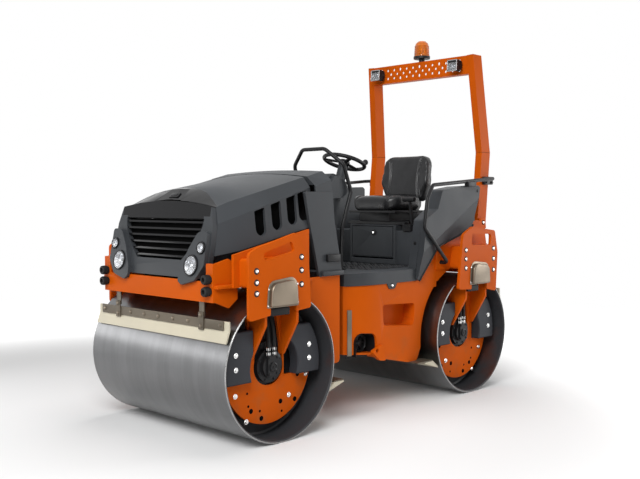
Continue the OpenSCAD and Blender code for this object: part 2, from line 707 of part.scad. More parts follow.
// Rear frame: the hull under the platform, the deck over the drum, the bumper and the pivot lugs
strip_seat = inner_low + bar_t - axle_z;
hull_rear = 475;
hull_side = [[nose_x, -30], [0, -52], [-40, -86], [-(strip_x - strip_w) + 20, strip_seat], [-430, strip_seat, 24],
    [-hull_rear, -60, 40], [-hull_rear, 0], [floor_rear, 0], [floor_rear, 480], [nose_x, 480]];
recess = [[-50, 286, 20], [-404, 270, 24], [-396, 108, 40], [-60, 140, 24]];
hatch = [[12, -80], [12, 95, 60], [209, 112, 60], [209, -80]];
module plan(grow) {
    translate([floor_rear, -(swing_r + grow)]) square([-floor_rear, 2 * (swing_r + grow)]);
    intersection() {
        circle(swing_r + grow);
        translate([-1, -swing_r * 2]) square([nose_x + 1 + (grow < 0 ? grow : 0), swing_r * 4]);
    }
}
module drum_arch() { translate([-axle_x, axle_z]) circle(max(arch_r, axle_x - hull_rear)); }
module haunch_outline(grow) {
    front = skirt_rear - seat_gap + grow;
    difference() {
        translate([0, deck_z + grow]) polygon([[front, -skirt_h - plate_t], [front, 20], [-613, 200], [haunch_rear, 255],
            [haunch_rear, -skirt_h - plate_t]]);
        drum_arch();
    }
}
module hull_outline() {
    difference() {
        translate([0, axle_z]) polygon(rounded([for (p = hull_side) p[1] < 400 ? p
            : [p[0], skirt_low - axle_z]]));
        drum_arch();
    }
}
lug_place = [26, -22];
lug_turn = asin(lug_place[0] / swing_r);
lug_out = 20;
bottom_t = 10;
module at_lug() { both_sides() rotate([0, 0, -lug_turn]) children(); }
module tie_lug() {
    outline = [[52, -26, 14], [-56, 18, 10], [-86, -100, 10], [-26, -92, 20]];
    along_y(swing_r - plate_t / 2, swing_r + lug_out) translate([0, axle_z]) polygon(rounded(outline));
}
module hull_walls() {
    intersection() {
        along_z(0, skirt_low) difference() {
            plan(0);
            plan(-plate_t);
        }
        along_y(-2 * swing_r, 2 * swing_r) difference() {
            hull_outline();
            translate([0, axle_z]) polygon(rounded(recess));
            translate([0, axle_z]) polygon(rounded(hatch));
        }
    }
}
pocket_depth = 100;
pocket_in = swing_r - pocket_depth - plate_t / 2;
module hull_insides() {
    bottom = [for (p = hull_side) if (p[1] < -20 && p[0] > -440) flat(p)];
    intersection() {
        along_z(0, skirt_low) plan(-plate_t / 2);
        union() {
            along_y(-swing_r, swing_r) translate([0, axle_z]) polygon(concat(bottom,
                [for (i = [len(bottom) - 1:-1:0]) bottom[i] + [0, bottom_t]]));
            both_sides() along_y(swing_r - pocket_depth - plate_t, swing_r - pocket_depth) hull_outline();
            both_sides() along_y(tunnel_half, tunnel_half + plate_t) intersection() {
                hull_outline();
                translate([wall_x, 0]) square([nose_x - wall_x, skirt_low]);
            }
            along_y(-pocket_in, pocket_in) intersection() {
                hull_outline();
                translate([wall_x - plate_t, 0]) square([plate_t, skirt_low]);
            }
        }
    }
}
module lower_hull() {
    difference() {
        union() {
            hull_walls();
            hull_insides();
        }
        block(wall_x + plate_t, nose_x + 100, -tunnel_half, tunnel_half, 0, skirt_low + 1);
    }
    both_sides() along_y(pocket_in, swing_r - plate_t / 2) intersection() {
        translate([0, axle_z]) difference() {
            polygon(rounded([for (p = recess) p + [p[0] < -200 ? -12 : 12, p[1] < 200 ? -12 : 12, 0]]));
            polygon(rounded(recess));
        }
        hull_outline();
    }
}
module pivot_lugs() {
    for (z = [lug_bottom, lug_top - lug_t]) along_z(z, z + lug_t) {
        circle(95);
        translate([wall_x - plate_t / 2, -150]) square([-wall_x - 30, 300]);
    }
}
module rear_frame() {
    color(orange) difference() {
        union() {
            lower_hull();
            pivot_lugs();
            at_lug() tie_lug();
            block(wall_x - plate_t, wall_x, -(swing_r - 40), swing_r - 40, skirt_low - plate_t, floor_under);
            both_sides() block(floor_rear, wall_x, tunnel_half, tunnel_half + plate_t, beam_low, floor_under);
            both_sides() along_y(swing_r - plate_t, swing_r) haunch_outline(0);
            mirror([1, 0, 0]) {
                end_deck(-floor_rear);
                bumper(rear_cheek);
                side_wall(rear_wall_top);
                block(-floor_rear, -floor_rear + plate_t, -(frame_half - plate_t / 2), frame_half - plate_t / 2,
                    beam_low, deck_z);
            }
        }
        translate([0, 0, lug_bottom - 1]) cylinder(r = pivot_r + seat_gap, h = lug_top - lug_bottom + 2);
        at_lug() {
            rod_y(0, axle_z + lug_place[1], lug_hole_r, swing_r - plate_t, swing_r + lug_out + 1);
            rod_y(0, axle_z + lug_place[1], lug_hole_r + run_gap, swing_r - 2 * plate_t, swing_r - plate_t / 2);
        }
    }
}

// Locking bar that holds the two frames straight in transport, stowed on the rear frame's corner
module lock_bar() {
    place = 66;
    half = 16;
    pad = swing_r + seat_gap;
    color(zinc) rotate([0, 0, place]) union() {
        block(pad + 2, pad + 10, -half, half, axle_z - 40, axle_z + 270);
        block(pad, pad + 2, -half, half, axle_z - 20, axle_z + 10);
        block(pad, pad + 2, -half, half, axle_z + 230, axle_z + 260);
    }
}

// Platform: the floor plate with its skirt
skirt_t = 30;
module platform() {
    color(dark_grey) union() {
        along_z(floor_under, deck_z) difference() {
            plan(skirt_out);
            for (s = [0, 1]) mirror([0, s]) translate([floor_rear - 1, swing_r - plate_t - seat_gap])
                square([skirt_rear - floor_rear + 1, swing_r]);
        }
        along_z(skirt_low, floor_under) difference() {
            plan(skirt_out);
            plan(skirt_out - skirt_t);
            translate([floor_rear - 1, -2 * swing_r]) square([skirt_rear - floor_rear + 1, 4 * swing_r]);
        }
    }
}

// Console with the steering column and the dash
console_half = 205;
dash_half = 235;
module console() {
    side = [[150, 0, 10], [150, 560, 60], [60, 690, 40], [-60, 650, 30], [-110, 560, 30], [-30, 500, 40], [0, 300, 60],
        [0, 0, 10]];
    color(dark_grey) union() {
        along_y(-console_half, console_half) translate([0, deck_z]) polygon(rounded(side));
        both_sides() along_y(console_half, dash_half) translate([0, deck_z]) polygon(rounded([[130, 500, 20],
            [130, 560, 40], [55, 670, 30], [-50, 635, 20], [-95, 560, 20], [-30, 510, 20]]));
        translate([wheel_x, 0, wheel_z]) rotate([0, -column_tilt, 0]) {
            translate([0, 0, -330]) cylinder(r = 38, h = 285);
            translate([0, 0, -45 - 20]) cylinder(r = 30, h = 40);
        }
        along_y(-45, 45) polygon([[wheel_x + 150, wheel_z - 320], [20, deck_z + 480], [20, deck_z + 560],
            [wheel_x + 118, wheel_z - 210]]);
    }
}

// Steering wheel, made flat and then tilted onto the column
rim_r = 15;
module steering_wheel() {
    color(near_black) translate([wheel_x, 0, wheel_z]) rotate([0, -column_tilt, 0]) union() {
        rotate_extrude() translate([wheel_d / 2, 0]) circle(rim_r);
        translate([0, 0, -25 + seat_gap]) cylinder(r = 42, h = 40);
        for (a = [60, 180, 300]) rotate([0, 0, a]) block(20, wheel_d / 2, -14, 14, -8, 4);
        rotate([0, 0, 140]) translate([wheel_d / 2, 0, 0]) {
            cylinder(r = 8, h = 40);
            translate([0, 0, 40]) sphere(r = 22);
        }
    }
}

// Handrail hoop around the console
module handrail() {
    half = [[22, 262, 1], [12, 262, 300], [-84, 262, 555], [-18, 248, 750], [34, 112, 862]];
    points = concat(half, [for (i = [4:-1:0]) [half[i][0], -half[i][1], half[i][2]]]);
    color(near_black) union() {
        pipe([for (p = points) [p[0], p[1], deck_z + p[2]]], rail_r, 60);
        both_sides() translate([22, 262, deck_z]) cylinder(r = 34, h = 8);
    }
}

// Seat box with its door, the tank walls beside it, and the seat
door_half = 205;
door_low = deck_z + 62;
door_high = deck_z + 290;
door_t = 18;
pin_r = 6;
module seat_box() {
    color(dark_grey) difference() {
        union() {
            block(seat_box_rear, seat_box_x, -seat_box_half, seat_box_half, deck_z, seat_box_top);
            both_sides() block(seat_box_rear, seat_box_x - 12, seat_box_half, fender_in, deck_z, side_box_top);
        }
        block(seat_box_x - 160, seat_box_x + 1, -door_half - 4, door_half + 4, door_low - 20, door_high + 4);
    }
}
module locker_door() {
    color(dark_grey) union() {
        block(seat_box_x - door_t, seat_box_x, -door_half, door_half, door_low, door_high);
        rod_y(seat_box_x - door_t / 2, door_low - 4, pin_r, -door_half - 4 + seat_gap, door_half + 4 - seat_gap);
        rod_x(20, door_high - 46, 14, seat_box_x, seat_box_x + 6);
    }
}
seat_x = -582;
seat_back_x = -1000;
cushion_h = 95;
seat_low = deck_z + seat_rise - cushion_h;
pan_t = 18;
bracket_y = 110;
bracket_t = 18;
bracket_h = 210;
back_h = 400;
module seat_slide() {
    color(near_black) union() {
        for (x = [-690, -960]) block(x - 30, x + 30, -seat_w / 2 - 40, seat_w / 2 + 40, seat_box_top, seat_box_top + 26);
        block(-1000, -640, -150, 150, seat_box_top + 26, seat_low - pan_t);
        block(-1030, -610, -seat_w / 2 + 15, seat_w / 2 - 15, seat_low - pan_t, seat_low);
        both_sides() along_y(bracket_y, bracket_y + bracket_t) polygon([[-1030, seat_low - pan_t],
            [-1000, seat_low - pan_t], [-1075, seat_low + bracket_h], [-1096, seat_low + bracket_h],
            [-1075, seat_low + 30]]);
    }
}
module seat_cushion() {
    color(near_black) along_z(seat_low, seat_low + cushion_h)
        polygon(rounded([[seat_x, -seat_w / 2, 110], [seat_x, seat_w / 2, 110], [-990, seat_w / 2 - 20, 60],
            [-990, -seat_w / 2 + 20, 60]]));
}
module seat_back() {
    tilt = 8;
    base_z = seat_low + 62;
    color(near_black) difference() {
        translate([seat_back_x, 0, base_z]) rotate([0, -tilt, 0]) along_x(-85, 0)
            polygon(rounded([[-seat_w / 2 + 55, 0, 50], [seat_w / 2 - 55, 0, 50], [seat_w / 2 + 8, 150, 120],
                [seat_w / 2 - 18, back_h, 90], [-seat_w / 2 + 18, back_h, 90], [-seat_w / 2 - 8, 150, 120]]));
        both_sides() along_y(bracket_y - seat_gap, bracket_y + bracket_t + seat_gap) polygon([
            [-1030, seat_low - pan_t - 1], [-999, seat_low - pan_t - 1], [-1074, seat_low + bracket_h + 1],
            [-1200, seat_low + bracket_h + 1], [-1200, seat_low]]);
    }
}

// Travel lever on the left of the seat
module travel_lever() {
    x = -690;
    y = seat_w / 2 + 90;
    base = side_box_top + 50;
    grip = [x + 30, side_box_top + 238];
    color(near_black) union() {
        block(x - 70, x + 70, y - 38, y + 38, side_box_top, base);
        along_y(y - 9, y + 9) polygon([[x - 10, base - 5], [x + 10, base - 5], grip + [8, 0], grip - [8, 0]]);
        rod_y(grip[0], grip[1], 17, y - 60, y + 44);
    }
}

// Fenders: the tanks beside the seat, with an outer panel that reaches down over the frame
fender_top = [[-600, 430], [-655, 568, 30], [-868, 597], [-1112, 609, 25], [-1136, 591, 12]];
module fender() {
    inner = concat([[-402, 0], [-467, 350, 30]], fender_top, [[-1136, 0]]);
    outer = concat([[-398, -skirt_h + 6, 20], [-467, 359, 40]], fender_top, [[-1080, 284, 40], [-613, 161, 120],
        [-430, -skirt_h + 6, 10]]);
    wall_in = min(swing_r, frame_half) - plate_t - seat_gap;
    color(dark_grey) union() {
        along_y(fender_in + seat_gap, wall_in) translate([0, deck_z]) polygon(rounded(inner));
        along_y(wall_in, fender_seat) difference() {
            translate([0, deck_z]) polygon(rounded(inner));
            mirror([1, 0]) wall_outline(rear_wall_top, seat_gap);
            haunch_outline(seat_gap);
            mirror([1, 0]) translate([axle_x + spacer_rear - seat_gap, deck_under])
                square([spacer_front - spacer_rear + 2 * seat_gap, plate_t + spacer_top + seat_gap]);
        }
        along_y(fender_seat, fender_out) translate([0, deck_z]) polygon(rounded(outer));
    }
}
module fender_left() { fender(); }
module fender_right() { mirror([0, 1, 0]) fender(); }

// Tank behind the seat, under the rollover frame
module rear_tank() {
    color(dark_grey) along_y(-tank_half, tank_half) translate([0, deck_z]) polygon(rounded([[-1140, 0], [-1140, 330, 40],
        [-1180, 400, 50], [tank_rear + 30, 380, 60], [tank_rear, 300, 60], [tank_rear, 0]]));
}

// Grab rails beside the seat, from the frame's side round to the rollover posts
module side_rail() {
    y = fender_out + rail_r + seat_gap;
    points = [[-700, frame_half, 35], [-700, y, 35], [-420, y, 299], [-452, y, 505], [-515, y, 602], [-1310, y, 664],
        [-1310, post_in + post_w, 664]];
    color(near_black) pipe([for (p = points) [p[0], p[1], deck_z + p[2]]], rail_r, 32);
}
module side_rail_left() { side_rail(); }
module side_rail_right() { mirror([0, 1, 0]) side_rail(); }

// Rollover frame: posts that lean back to a kink and then forward, and a beam with a row of holes
post_lean = atan((post_in - post_in_top) / (post_top[1] - post_kink[1]));
module rops_post() {
    lower = [post_foot, post_kink, post_kink - [post_d, 0], post_foot - [post_d, 0]];
    rise = post_top[1] - post_kink[1];
    upper = [[post_kink[0], -4], [post_top[0], rise], [post_top[0] - post_d, rise], [post_kink[0] - post_d, -4]];
    color(orange) union() {
        along_y(post_in, post_in + post_w) polygon(lower);
        translate([0, post_in, post_kink[1]]) rotate([post_lean, 0, 0]) along_y(0, post_w) polygon(upper);
        block(post_foot[0] - post_d - 30, post_foot[0] + 30, post_in, post_in + post_w, deck_z, deck_z + 16);
    }
}
module rops_post_left() { rops_post(); }
module rops_post_right() { mirror([0, 1, 0]) rops_post(); }
hole_r = 11;
beam_t = 10;
function beam_half(z) = post_in - (z - post_kink[1]) * tan(post_lean);
module rops_beam() {
    z1 = post_top[1];
    z0 = z1 - beam_h;
    x1 = post_top[0];
    color(orange) difference() {
        along_x(x1 - 84, x1 - 14) polygon([[-beam_half(z0), z0], [beam_half(z0), z0], [beam_half(z1), z1],
            [-beam_half(z1), z1]]);
        block(x1 - 85, x1 - 14 - beam_t, -post_in, post_in, z0 + beam_t, z1 - beam_t);
        for (i = [-4:4]) rod_x(i * 100, z0 + beam_h * (i % 2 == 0 ? 0.76 : 0.5), hole_r, x1 - 40, x1);
        for (i = [-2:2]) rod_x(i * 200, z0 + beam_h * 0.24, hole_r, x1 - 40, x1);
    }
}

// Lamps
lamp_y = 395;
module work_lamps() {
    x = post_top[0] - 14;
    z = post_top[1] - 78;
    color(near_black) both_sides() union() {
        block(x, x + 22, lamp_y - 16, lamp_y + 16, z - 40, z + 40);
        along_y(lamp_y - 48, lamp_y + 48) polygon(rounded([[x + 22, z - 30, 12], [x + 86, z - 48, 8], [x + 92, z + 44, 8],
            [x + 22, z + 34, 12]]));
    }
}
beacon_x = post_top[0] - 50;
module beacon_base() {
    color(near_black) union() {
        translate([beacon_x, 0, post_top[1]]) cylinder(r = 24, h = 26);
        translate([beacon_x, 0, post_top[1] + 26]) cylinder(r = beacon_d / 2 + 4, h = 22);
    }
}
module beacon_lens() {
    z = post_top[1] + 48;
    color(amber) translate([beacon_x, 0, z]) rotate_extrude() polygon([[0, 0], [beacon_d / 2, 0], [beacon_d / 2 - 4, 80],
        [beacon_d / 2 - 14, 106], [beacon_d / 4, 122], [0, 124]]);
}
module tail_lamps() {
    color(red) both_sides() block(-bumper_x - 22, -bumper_x, bumper_half - 220, bumper_half - 90, deck_z - 70,
        deck_z - 10);
}

front_drum();
rear_drum();
front_frame();
front_yoke_left();
front_yoke_right();
front_motors();
front_weights();
front_covers();
front_scrapers();
front_blades();
front_buffers();
engine();
cowl();
hood_hinge();
hood();
nose_panel();
grille();
headlamps();
joint_block();
pivot_pin();
rear_frame();
rear_yoke_left();
rear_yoke_right();
rear_motors();
rear_weights();
rear_covers();
rear_scrapers();
rear_blades();
rear_buffers();
lock_bar();
platform();
console();
steering_wheel();
handrail();
seat_box();
locker_door();
seat_slide();
seat_cushion();
seat_back();
travel_lever();
fender_left();
fender_right();
rear_tank();
side_rail_left();
side_rail_right();
rops_post_left();
rops_post_right();
rops_beam();
work_lamps();
beacon_base();
beacon_lens();
tail_lamps();
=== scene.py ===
"""Dresses the tandem road roller: rounded edges, finishes, fasteners, lamps, the seat, and a plain studio."""

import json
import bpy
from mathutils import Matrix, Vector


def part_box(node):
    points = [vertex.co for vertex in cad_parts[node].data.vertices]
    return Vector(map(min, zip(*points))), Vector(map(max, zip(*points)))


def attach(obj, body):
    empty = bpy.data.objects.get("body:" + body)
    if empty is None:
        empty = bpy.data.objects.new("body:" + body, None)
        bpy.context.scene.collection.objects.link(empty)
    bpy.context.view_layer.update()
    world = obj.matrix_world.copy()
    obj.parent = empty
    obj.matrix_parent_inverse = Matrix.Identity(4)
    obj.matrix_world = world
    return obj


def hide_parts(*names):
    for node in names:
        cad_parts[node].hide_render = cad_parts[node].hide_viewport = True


bl_info = {
    "name": "Tandem road roller",
    "version": (1, 0, 0),
    "blender": (4, 5, 0),
    "location": "View3D > Sidebar > Roller",
    "description": "Builds the looks of a tandem road roller around its solid model",
    "category": "Add Mesh",
}

from math import acos, cos, pi, radians, sin, tan

import bmesh
import bpy
from bpy.props import FloatProperty, FloatVectorProperty, IntProperty, PointerProperty
from mathutils import Matrix, Vector

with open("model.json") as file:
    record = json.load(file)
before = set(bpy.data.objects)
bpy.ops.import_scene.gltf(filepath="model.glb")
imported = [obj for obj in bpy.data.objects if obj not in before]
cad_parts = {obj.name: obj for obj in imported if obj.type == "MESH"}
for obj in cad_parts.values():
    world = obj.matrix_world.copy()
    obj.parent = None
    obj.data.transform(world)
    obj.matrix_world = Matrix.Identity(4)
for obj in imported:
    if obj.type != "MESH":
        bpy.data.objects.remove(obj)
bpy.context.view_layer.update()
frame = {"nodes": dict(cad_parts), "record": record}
BODY_OF = {n: b for b, nodes in frame["record"]["behaviour"]["bodies"].items() for n in nodes}
SLOT_OF = {part["node"]: part["material_slot"] for part in frame["record"]["subparts"]}
HERE = Matrix.Identity(4)
# Turns that bring a shape's own Z to the named axis
TURNS = {"X": Matrix.Rotation(pi / 2, 4, "Y"), "Y": Matrix.Rotation(-pi / 2, 4, "X")}


def middle(node):
    low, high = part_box(node)
    return (low + high) / 2


def leaning(place, degrees):
    """A place that leans about the machine's width."""
    return Matrix.Translation(place) @ Matrix.Rotation(radians(degrees), 4, "Y")


def at(place, axis, way=1):
    """A place whose own Z points along the named axis, or back along it."""
    return Matrix.Translation(Vector(place)) @ TURNS[axis] @ Matrix.Diagonal((1, 1, way, 1))


def upright(side, depth):
    """Stands a plate's outline in XZ, at a distance to the side, with its thickness outward."""
    return Matrix(((1, 0, 0, 0), (0, 0, side, side * depth), (0, 1, 0, 0), (0, 0, 0, 1)))


AXLE = middle("front_drum")
DRUM_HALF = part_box("front_drum")[1].y
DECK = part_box("platform")[1].z
YOKE_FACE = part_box("front_yoke_left")[1].y
SIDES = (1, -1)
HALVES = ((1, "front"), (-1, "rear"))
NOSE = leaning((1.3415, 0, 1.415), -10.15)
WHEEL = leaning((-0.298, 0, 1.745), -19.6)


def by_axle(end, side, x, out, z):
    """A point beside a drum, from its axle: along, out to the side and up."""
    return (end * (AXLE.x + x), side * out, AXLE.z + z)


# Finishes


class Value:
    """A shader socket that takes part in sums, products and comparisons."""

    def __init__(self, finish, socket):
        self.finish = finish
        self.socket = socket

    def maths(self, operation, *values):
        return self.finish.node("ShaderNodeMath", {"operation": operation}, dict(enumerate(values)))

    def __add__(self, other):
        return self.maths("ADD", self, other)

    def __sub__(self, other):
        return self.maths("SUBTRACT", self, other)

    def __rsub__(self, other):
        return self.maths("SUBTRACT", other, self)

    def __mul__(self, other):
        return self.maths("MULTIPLY", self, other)

    def __gt__(self, other):
        return self.maths("GREATER_THAN", self, other)

    def __lt__(self, other):
        return self.maths("LESS_THAN", self, other)

    def __abs__(self):
        return self.maths("ABSOLUTE", self)

    __radd__ = __add__
    __rmul__ = __mul__

    def between(self, low, high):
        """0 below low, 1 above high, and a soft step between them."""
        settings = {"interpolation_type": "SMOOTHSTEP"}
        return self.finish.node("ShaderNodeMapRange", settings, {0: self, 1: low, 2: high})


class Tree:
    """A node tree that starts empty."""

    def __init__(self, owner):
        owner.use_nodes = True
        self.tree = owner.node_tree
        self.tree.nodes.clear()

    def node(self, kind, settings=None, inputs=None, out=0):
        """Adds a node: its settings come first, then the values or links of its sockets."""
        made = self.tree.nodes.new(kind)
        for name, value in (settings or {}).items():
            setattr(made, name, value)
        for key, value in (inputs or {}).items():
            if isinstance(value, Value):
                self.tree.links.new(value.socket, made.inputs[key])
            else:
                made.inputs[key].default_value = value
        return Value(self, made.outputs[out]) if made.outputs else None

    def outputs(self, made):
        """Every output of the node that a value comes from."""
        return {socket.name: Value(self, socket) for socket in made.socket.node.outputs}

    def seen(self):
        """1 for what the camera sees, straight on, in a reflection or through glass."""
        rays = self.outputs(self.node("ShaderNodeLightPath"))
        return rays["Is Camera Ray"] + rays["Is Glossy Ray"] + rays["Is Transmission Ray"]


class Finish(Tree):
    """A material on one Principled shader, with the nodes that vary it."""

    def __init__(self, name, colour, roughness, metallic=0.0, **fixed):
        self.material = bpy.data.materials.new(name)
        super().__init__(self.material)
        self.colour = tuple(colour)[:3]
        self.material.diffuse_color = (*self.colour, 1)
        inputs = {"Base Color": (*self.colour, 1), "Roughness": roughness, "Metallic": metallic, **fixed}
        surface = self.node("ShaderNodeBsdfPrincipled", inputs=inputs)
        self.shader = surface.socket.node
        self.node("ShaderNodeOutputMaterial", inputs={"Surface": surface})

    def vary(self, socket, value):
        self.tree.links.new(value.socket, self.shader.inputs[socket])

    def place(self, stretch=(1, 1, 1)):
        spot = self.node("ShaderNodeTexCoord", out=3)
        return self.node("ShaderNodeMapping", inputs={"Vector": spot, "Scale": stretch})

    def axes(self):
        return list(self.outputs(self.node("ShaderNodeSeparateXYZ", inputs={0: self.place()})).values())

    def noise(self, scale, detail=2.0, **where):
        inputs = {"Vector": self.place(**where), "Scale": scale, "Detail": detail}
        return self.node("ShaderNodeTexNoise", inputs=inputs)

    def patches(self, scale, detail, **where):
        return self.noise(scale, detail, **where).between(0.3, 0.7)

    def cells(self, scale):
        return self.node("ShaderNodeTexVoronoi", {"feature": "F1"}, {"Vector": self.place(), "Scale": scale})

    def mix(self, factor, first, second):
        full = [c if isinstance(c, Value) else (*tuple(c)[:3], 1) for c in (first, second)]
        return self.node("ShaderNodeMix", {"data_type": "RGBA"}, {0: factor, 6: full[0], 7: full[1]}, out=2)

    def tones(self, factor, dark, light):
        """Runs between two shades of the finish's own colour."""
        return self.mix(factor, *(tuple(c * shade for c in self.colour) for shade in (dark, light)))

    def bump(self, height, strength, distance):
        inputs = {"Height": height, "Strength": strength, "Distance": distance}
        self.vary("Normal", self.node("ShaderNodeBump", inputs=inputs))


def sheen(level):
    return {"Specular IOR Level": level}


LOW_SHEEN = sheen(0.2)
GLOSS_BLACK = (0.006, 0.006, 0.007)


def mottled(name, colour, roughness, grain, depth, metallic=0.0, spread=0.12, rough_spread=0.1, **fixed):
    """A finish with soft patches of tone and gloss, and a fine grain."""
    made = Finish(name, colour, roughness, metallic, **fixed)
    patches = made.patches(3.1, 4.0)
    made.vary("Base Color", made.tones(patches, 1 - spread, 1 + spread))
    made.vary("Roughness", patches * rough_spread + (roughness - rough_spread / 2))
    made.bump(made.noise(grain, 3.0), 0.35, depth)
    return made


def lens(name, colour, clear):
    """Clear moulded plastic with faint ribs."""
    made = Finish(name, colour, 0.06, **{"Transmission Weight": clear, "IOR": 1.46})
    made.vary("Roughness", made.noise(90.0, 2.0) * 0.08 + 0.03)
    return made


def orange_paint(paint):
    """Gloss paint with a fine orange peel, slightly dusty low down."""
    made = Finish("orange_paint", paint.orange, 0.4, **sheen(0.05))
    patches = made.patches(1.7, 3.0)
    height = made.axes()[2]
    dust = (1 - height.between(0.2, 0.75)) * made.noise(9.0, 6.0).between(0.45, 0.75) * 0.3
    made.vary("Base Color", made.mix(dust, made.tones(patches, 0.93, 1.04), (0.24, 0.12, 0.05)))
    made.vary("Roughness", patches * 0.08 + dust * 0.5 + 0.34)
    made.bump(made.noise(330.0, 2.0), 0.12, 0.0006)
    return made


def drum_steel(paint):
    """Rolled steel with streaks that run round the drum, and faint bands along it."""
    made = Finish("drum_steel", paint.steel, 0.3, 1.0)
    streaks = made.noise(1.0, 4.0, stretch=(2.2, 260.0, 2.2))
    bands = made.patches(1.0, 2.0, stretch=(1.2, 16.0, 1.2))
    scuffs = made.noise(7.0, 5.0, stretch=(1.0, 2.5, 1.0)).between(0.5, 0.8)
    made.vary("Base Color", made.tones(streaks * 0.5 + bands * 0.25 + scuffs * 0.2, 0.75, 1.2))
    made.vary("Roughness", streaks * 0.14 + scuffs * 0.1 + 0.24)
    made.bump(streaks, 0.05, 0.0004)
    return made


def rim_steel(paint):
    """The drum's edges, worn bright by the road."""
    made = Finish("rim_steel", (0.36, 0.36, 0.36), 0.36, 1.0)
    marks = made.noise(1.0, 4.0, stretch=(60.0, 8.0, 60.0))
    made.vary("Base Color", made.tones(marks, 0.7, 1.15))
    made.vary("Roughness", marks * 0.25 + 0.14)
    return made


def drum_inside(paint):
    """Dark primer inside the drums, with a brown bloom of rust."""
    made = Finish("drum_inside", (0.04, 0.041, 0.045), 0.55, **LOW_SHEEN)
    rust = made.noise(3.2, 6.0).between(0.5, 0.72)
    made.vary("Base Color", made.mix(rust, made.colour, (0.07, 0.024, 0.016)))
    made.vary("Roughness", rust * 0.3 + 0.42)
    made.bump(made.noise(60.0, 4.0), 0.25, 0.001)
    return made


def zinc_plate(paint):
    """Zinc with a brownish passivated bloom and fine rolling lines."""
    made = Finish("zinc_plate", paint.zinc, 0.36, 0.85)
    bloom = made.noise(4.0, 5.0).between(0.3, 0.75)
    lines = made.noise(1.0, 3.0, stretch=(40.0, 6.0, 300.0))
    made.vary("Base Color", made.tones(bloom, 1.2, 0.7))
    made.vary("Roughness", lines * 0.2 + bloom * 0.12 + 0.24)
    made.bump(lines, 0.06, 0.0005)
    return made


def hood_panel(paint):
    """Grained grey panels with a gloss-black band over the hood's front and the nose above the grille."""
    made = Finish("hood_panel", paint.grey, 0.46, **LOW_SHEEN)
    x, y, z = made.axes()
    over_hood = (x > 1.185 + y * y * 0.55) * (abs(y) < 0.452) * (z > 1.36)
    over_nose = (abs(y) < 0.395) * (z > 1.335) * (x > 1.3)
    band = over_hood.maths("MINIMUM", over_hood + over_nose, 1.0)
    patches = made.patches(3.0, 4.0)
    made.vary("Base Color", made.mix(band, made.tones(patches, 0.9, 1.1), GLOSS_BLACK))
    made.vary("Roughness", (1 - band) * (patches * 0.08 + 0.4) + band * 0.12)
    made.bump(made.noise(700.0, 2.0) * (1 - band), 0.3, 0.0005)
    return made


def seat_vinyl(paint):
    """Black vinyl with a leather-like grain."""
    made = Finish("seat_vinyl", (0.011, 0.011, 0.012), 0.34, **sheen(0.35))
    patches = made.patches(9.0, 4.0)
    made.vary("Base Color", made.tones(patches, 0.8, 1.5))
    made.vary("Roughness", patches * 0.14 + 0.27)
    made.bump(made.cells(420.0), 0.2, 0.0006)
    return made


def mirror_dish(paint):
    """The lamps' bright dishes, with moulded flutes in the bump and their facets drawn as dark patches in the
    colour, a painted reflection.
    """
    made = Finish("mirror_dish", (0.85, 0.86, 0.88), 0.1, 1.0)
    cells = made.cells(60.0)
    # Painted reflection: near-black patches round each flute, in the metal's own colour
    made.vary("Base Color", made.mix(cells.between(0.25, 0.5), (0.9, 0.91, 0.93), (0.05, 0.05, 0.06)))
    made.bump(cells, 0.9, 0.006)
    return made


FINISHES = {make.__name__: make for make in (
    orange_paint, drum_steel, rim_steel, drum_inside, zinc_plate, hood_panel, seat_vinyl, mirror_dish)}
# Colour (or which of the owner's colours), roughness, grain and its depth, and what else differs
MOTTLED = {
    "grey_panel": ("grey", 0.46, 700.0, 0.0006, LOW_SHEEN),
    "black_plastic": ((0.011, 0.011, 0.012), 0.4, 800.0, 0.0005, LOW_SHEEN),
    "black_gloss": (GLOSS_BLACK, 0.14, 300.0, 0.0001, LOW_SHEEN),
    "black_metal": ((0.013, 0.013, 0.014), 0.36, 420.0, 0.0005, LOW_SHEEN),
    "dull_zinc": ("bar", 0.48, 260.0, 0.0008, {"metallic": 0.55, "spread": 0.2}),
    "dark_casting": ((0.034, 0.036, 0.042), 0.55, 160.0, 0.0016, LOW_SHEEN),
    "cream_plastic": ("blade", 0.5, 500.0, 0.0004, {"spread": 0.06}),
    "tread_plate": ((0.02, 0.021, 0.023), 0.3, 300.0, 0.0006, {"spread": 0.35, "rough_spread": 0.2}),
    "rubber": ((0.012, 0.012, 0.012), 0.62, 500.0, 0.0008, LOW_SHEEN),
    "chrome": ((0.78, 0.78, 0.77), 0.2, 300.0, 0.0001, {"metallic": 1.0, "spread": 0.1}),
    # Near-black with almost no sheen: painted shade in the carriers' holes and behind the hood's slots and
    # grille, and the dark seam line on the posts
    "dark_hole": ((0.004, 0.004, 0.004), 0.9, 300.0, 0.0001, sheen(0.02)),
}
# The colour, and how much light goes through
LENSES = {
    "lamp_glass": ((0.95, 0.97, 1.0), 0.85),
    "amber_lens": ("amber", 0.45),
    "red_lens": ((0.5, 0.008, 0.006), 0.4),
}
made_finishes = {}


def finish(name):
    """The named finish, made once."""
    if name not in made_finishes:
        paint = bpy.context.scene.roller_paint
        if name in FINISHES:
            made = FINISHES[name](paint)
        else:
            colour, *facts = LENSES.get(name) or MOTTLED[name]
            if isinstance(colour, str):
                colour = getattr(paint, colour)
            if name in LENSES:
                made = lens(name, colour, *facts)
            else:
                made = mottled(name, colour, *facts[:-1], **facts[-1])
        made_finishes[name] = made.material
    return made_finishes[name]


# Shapes


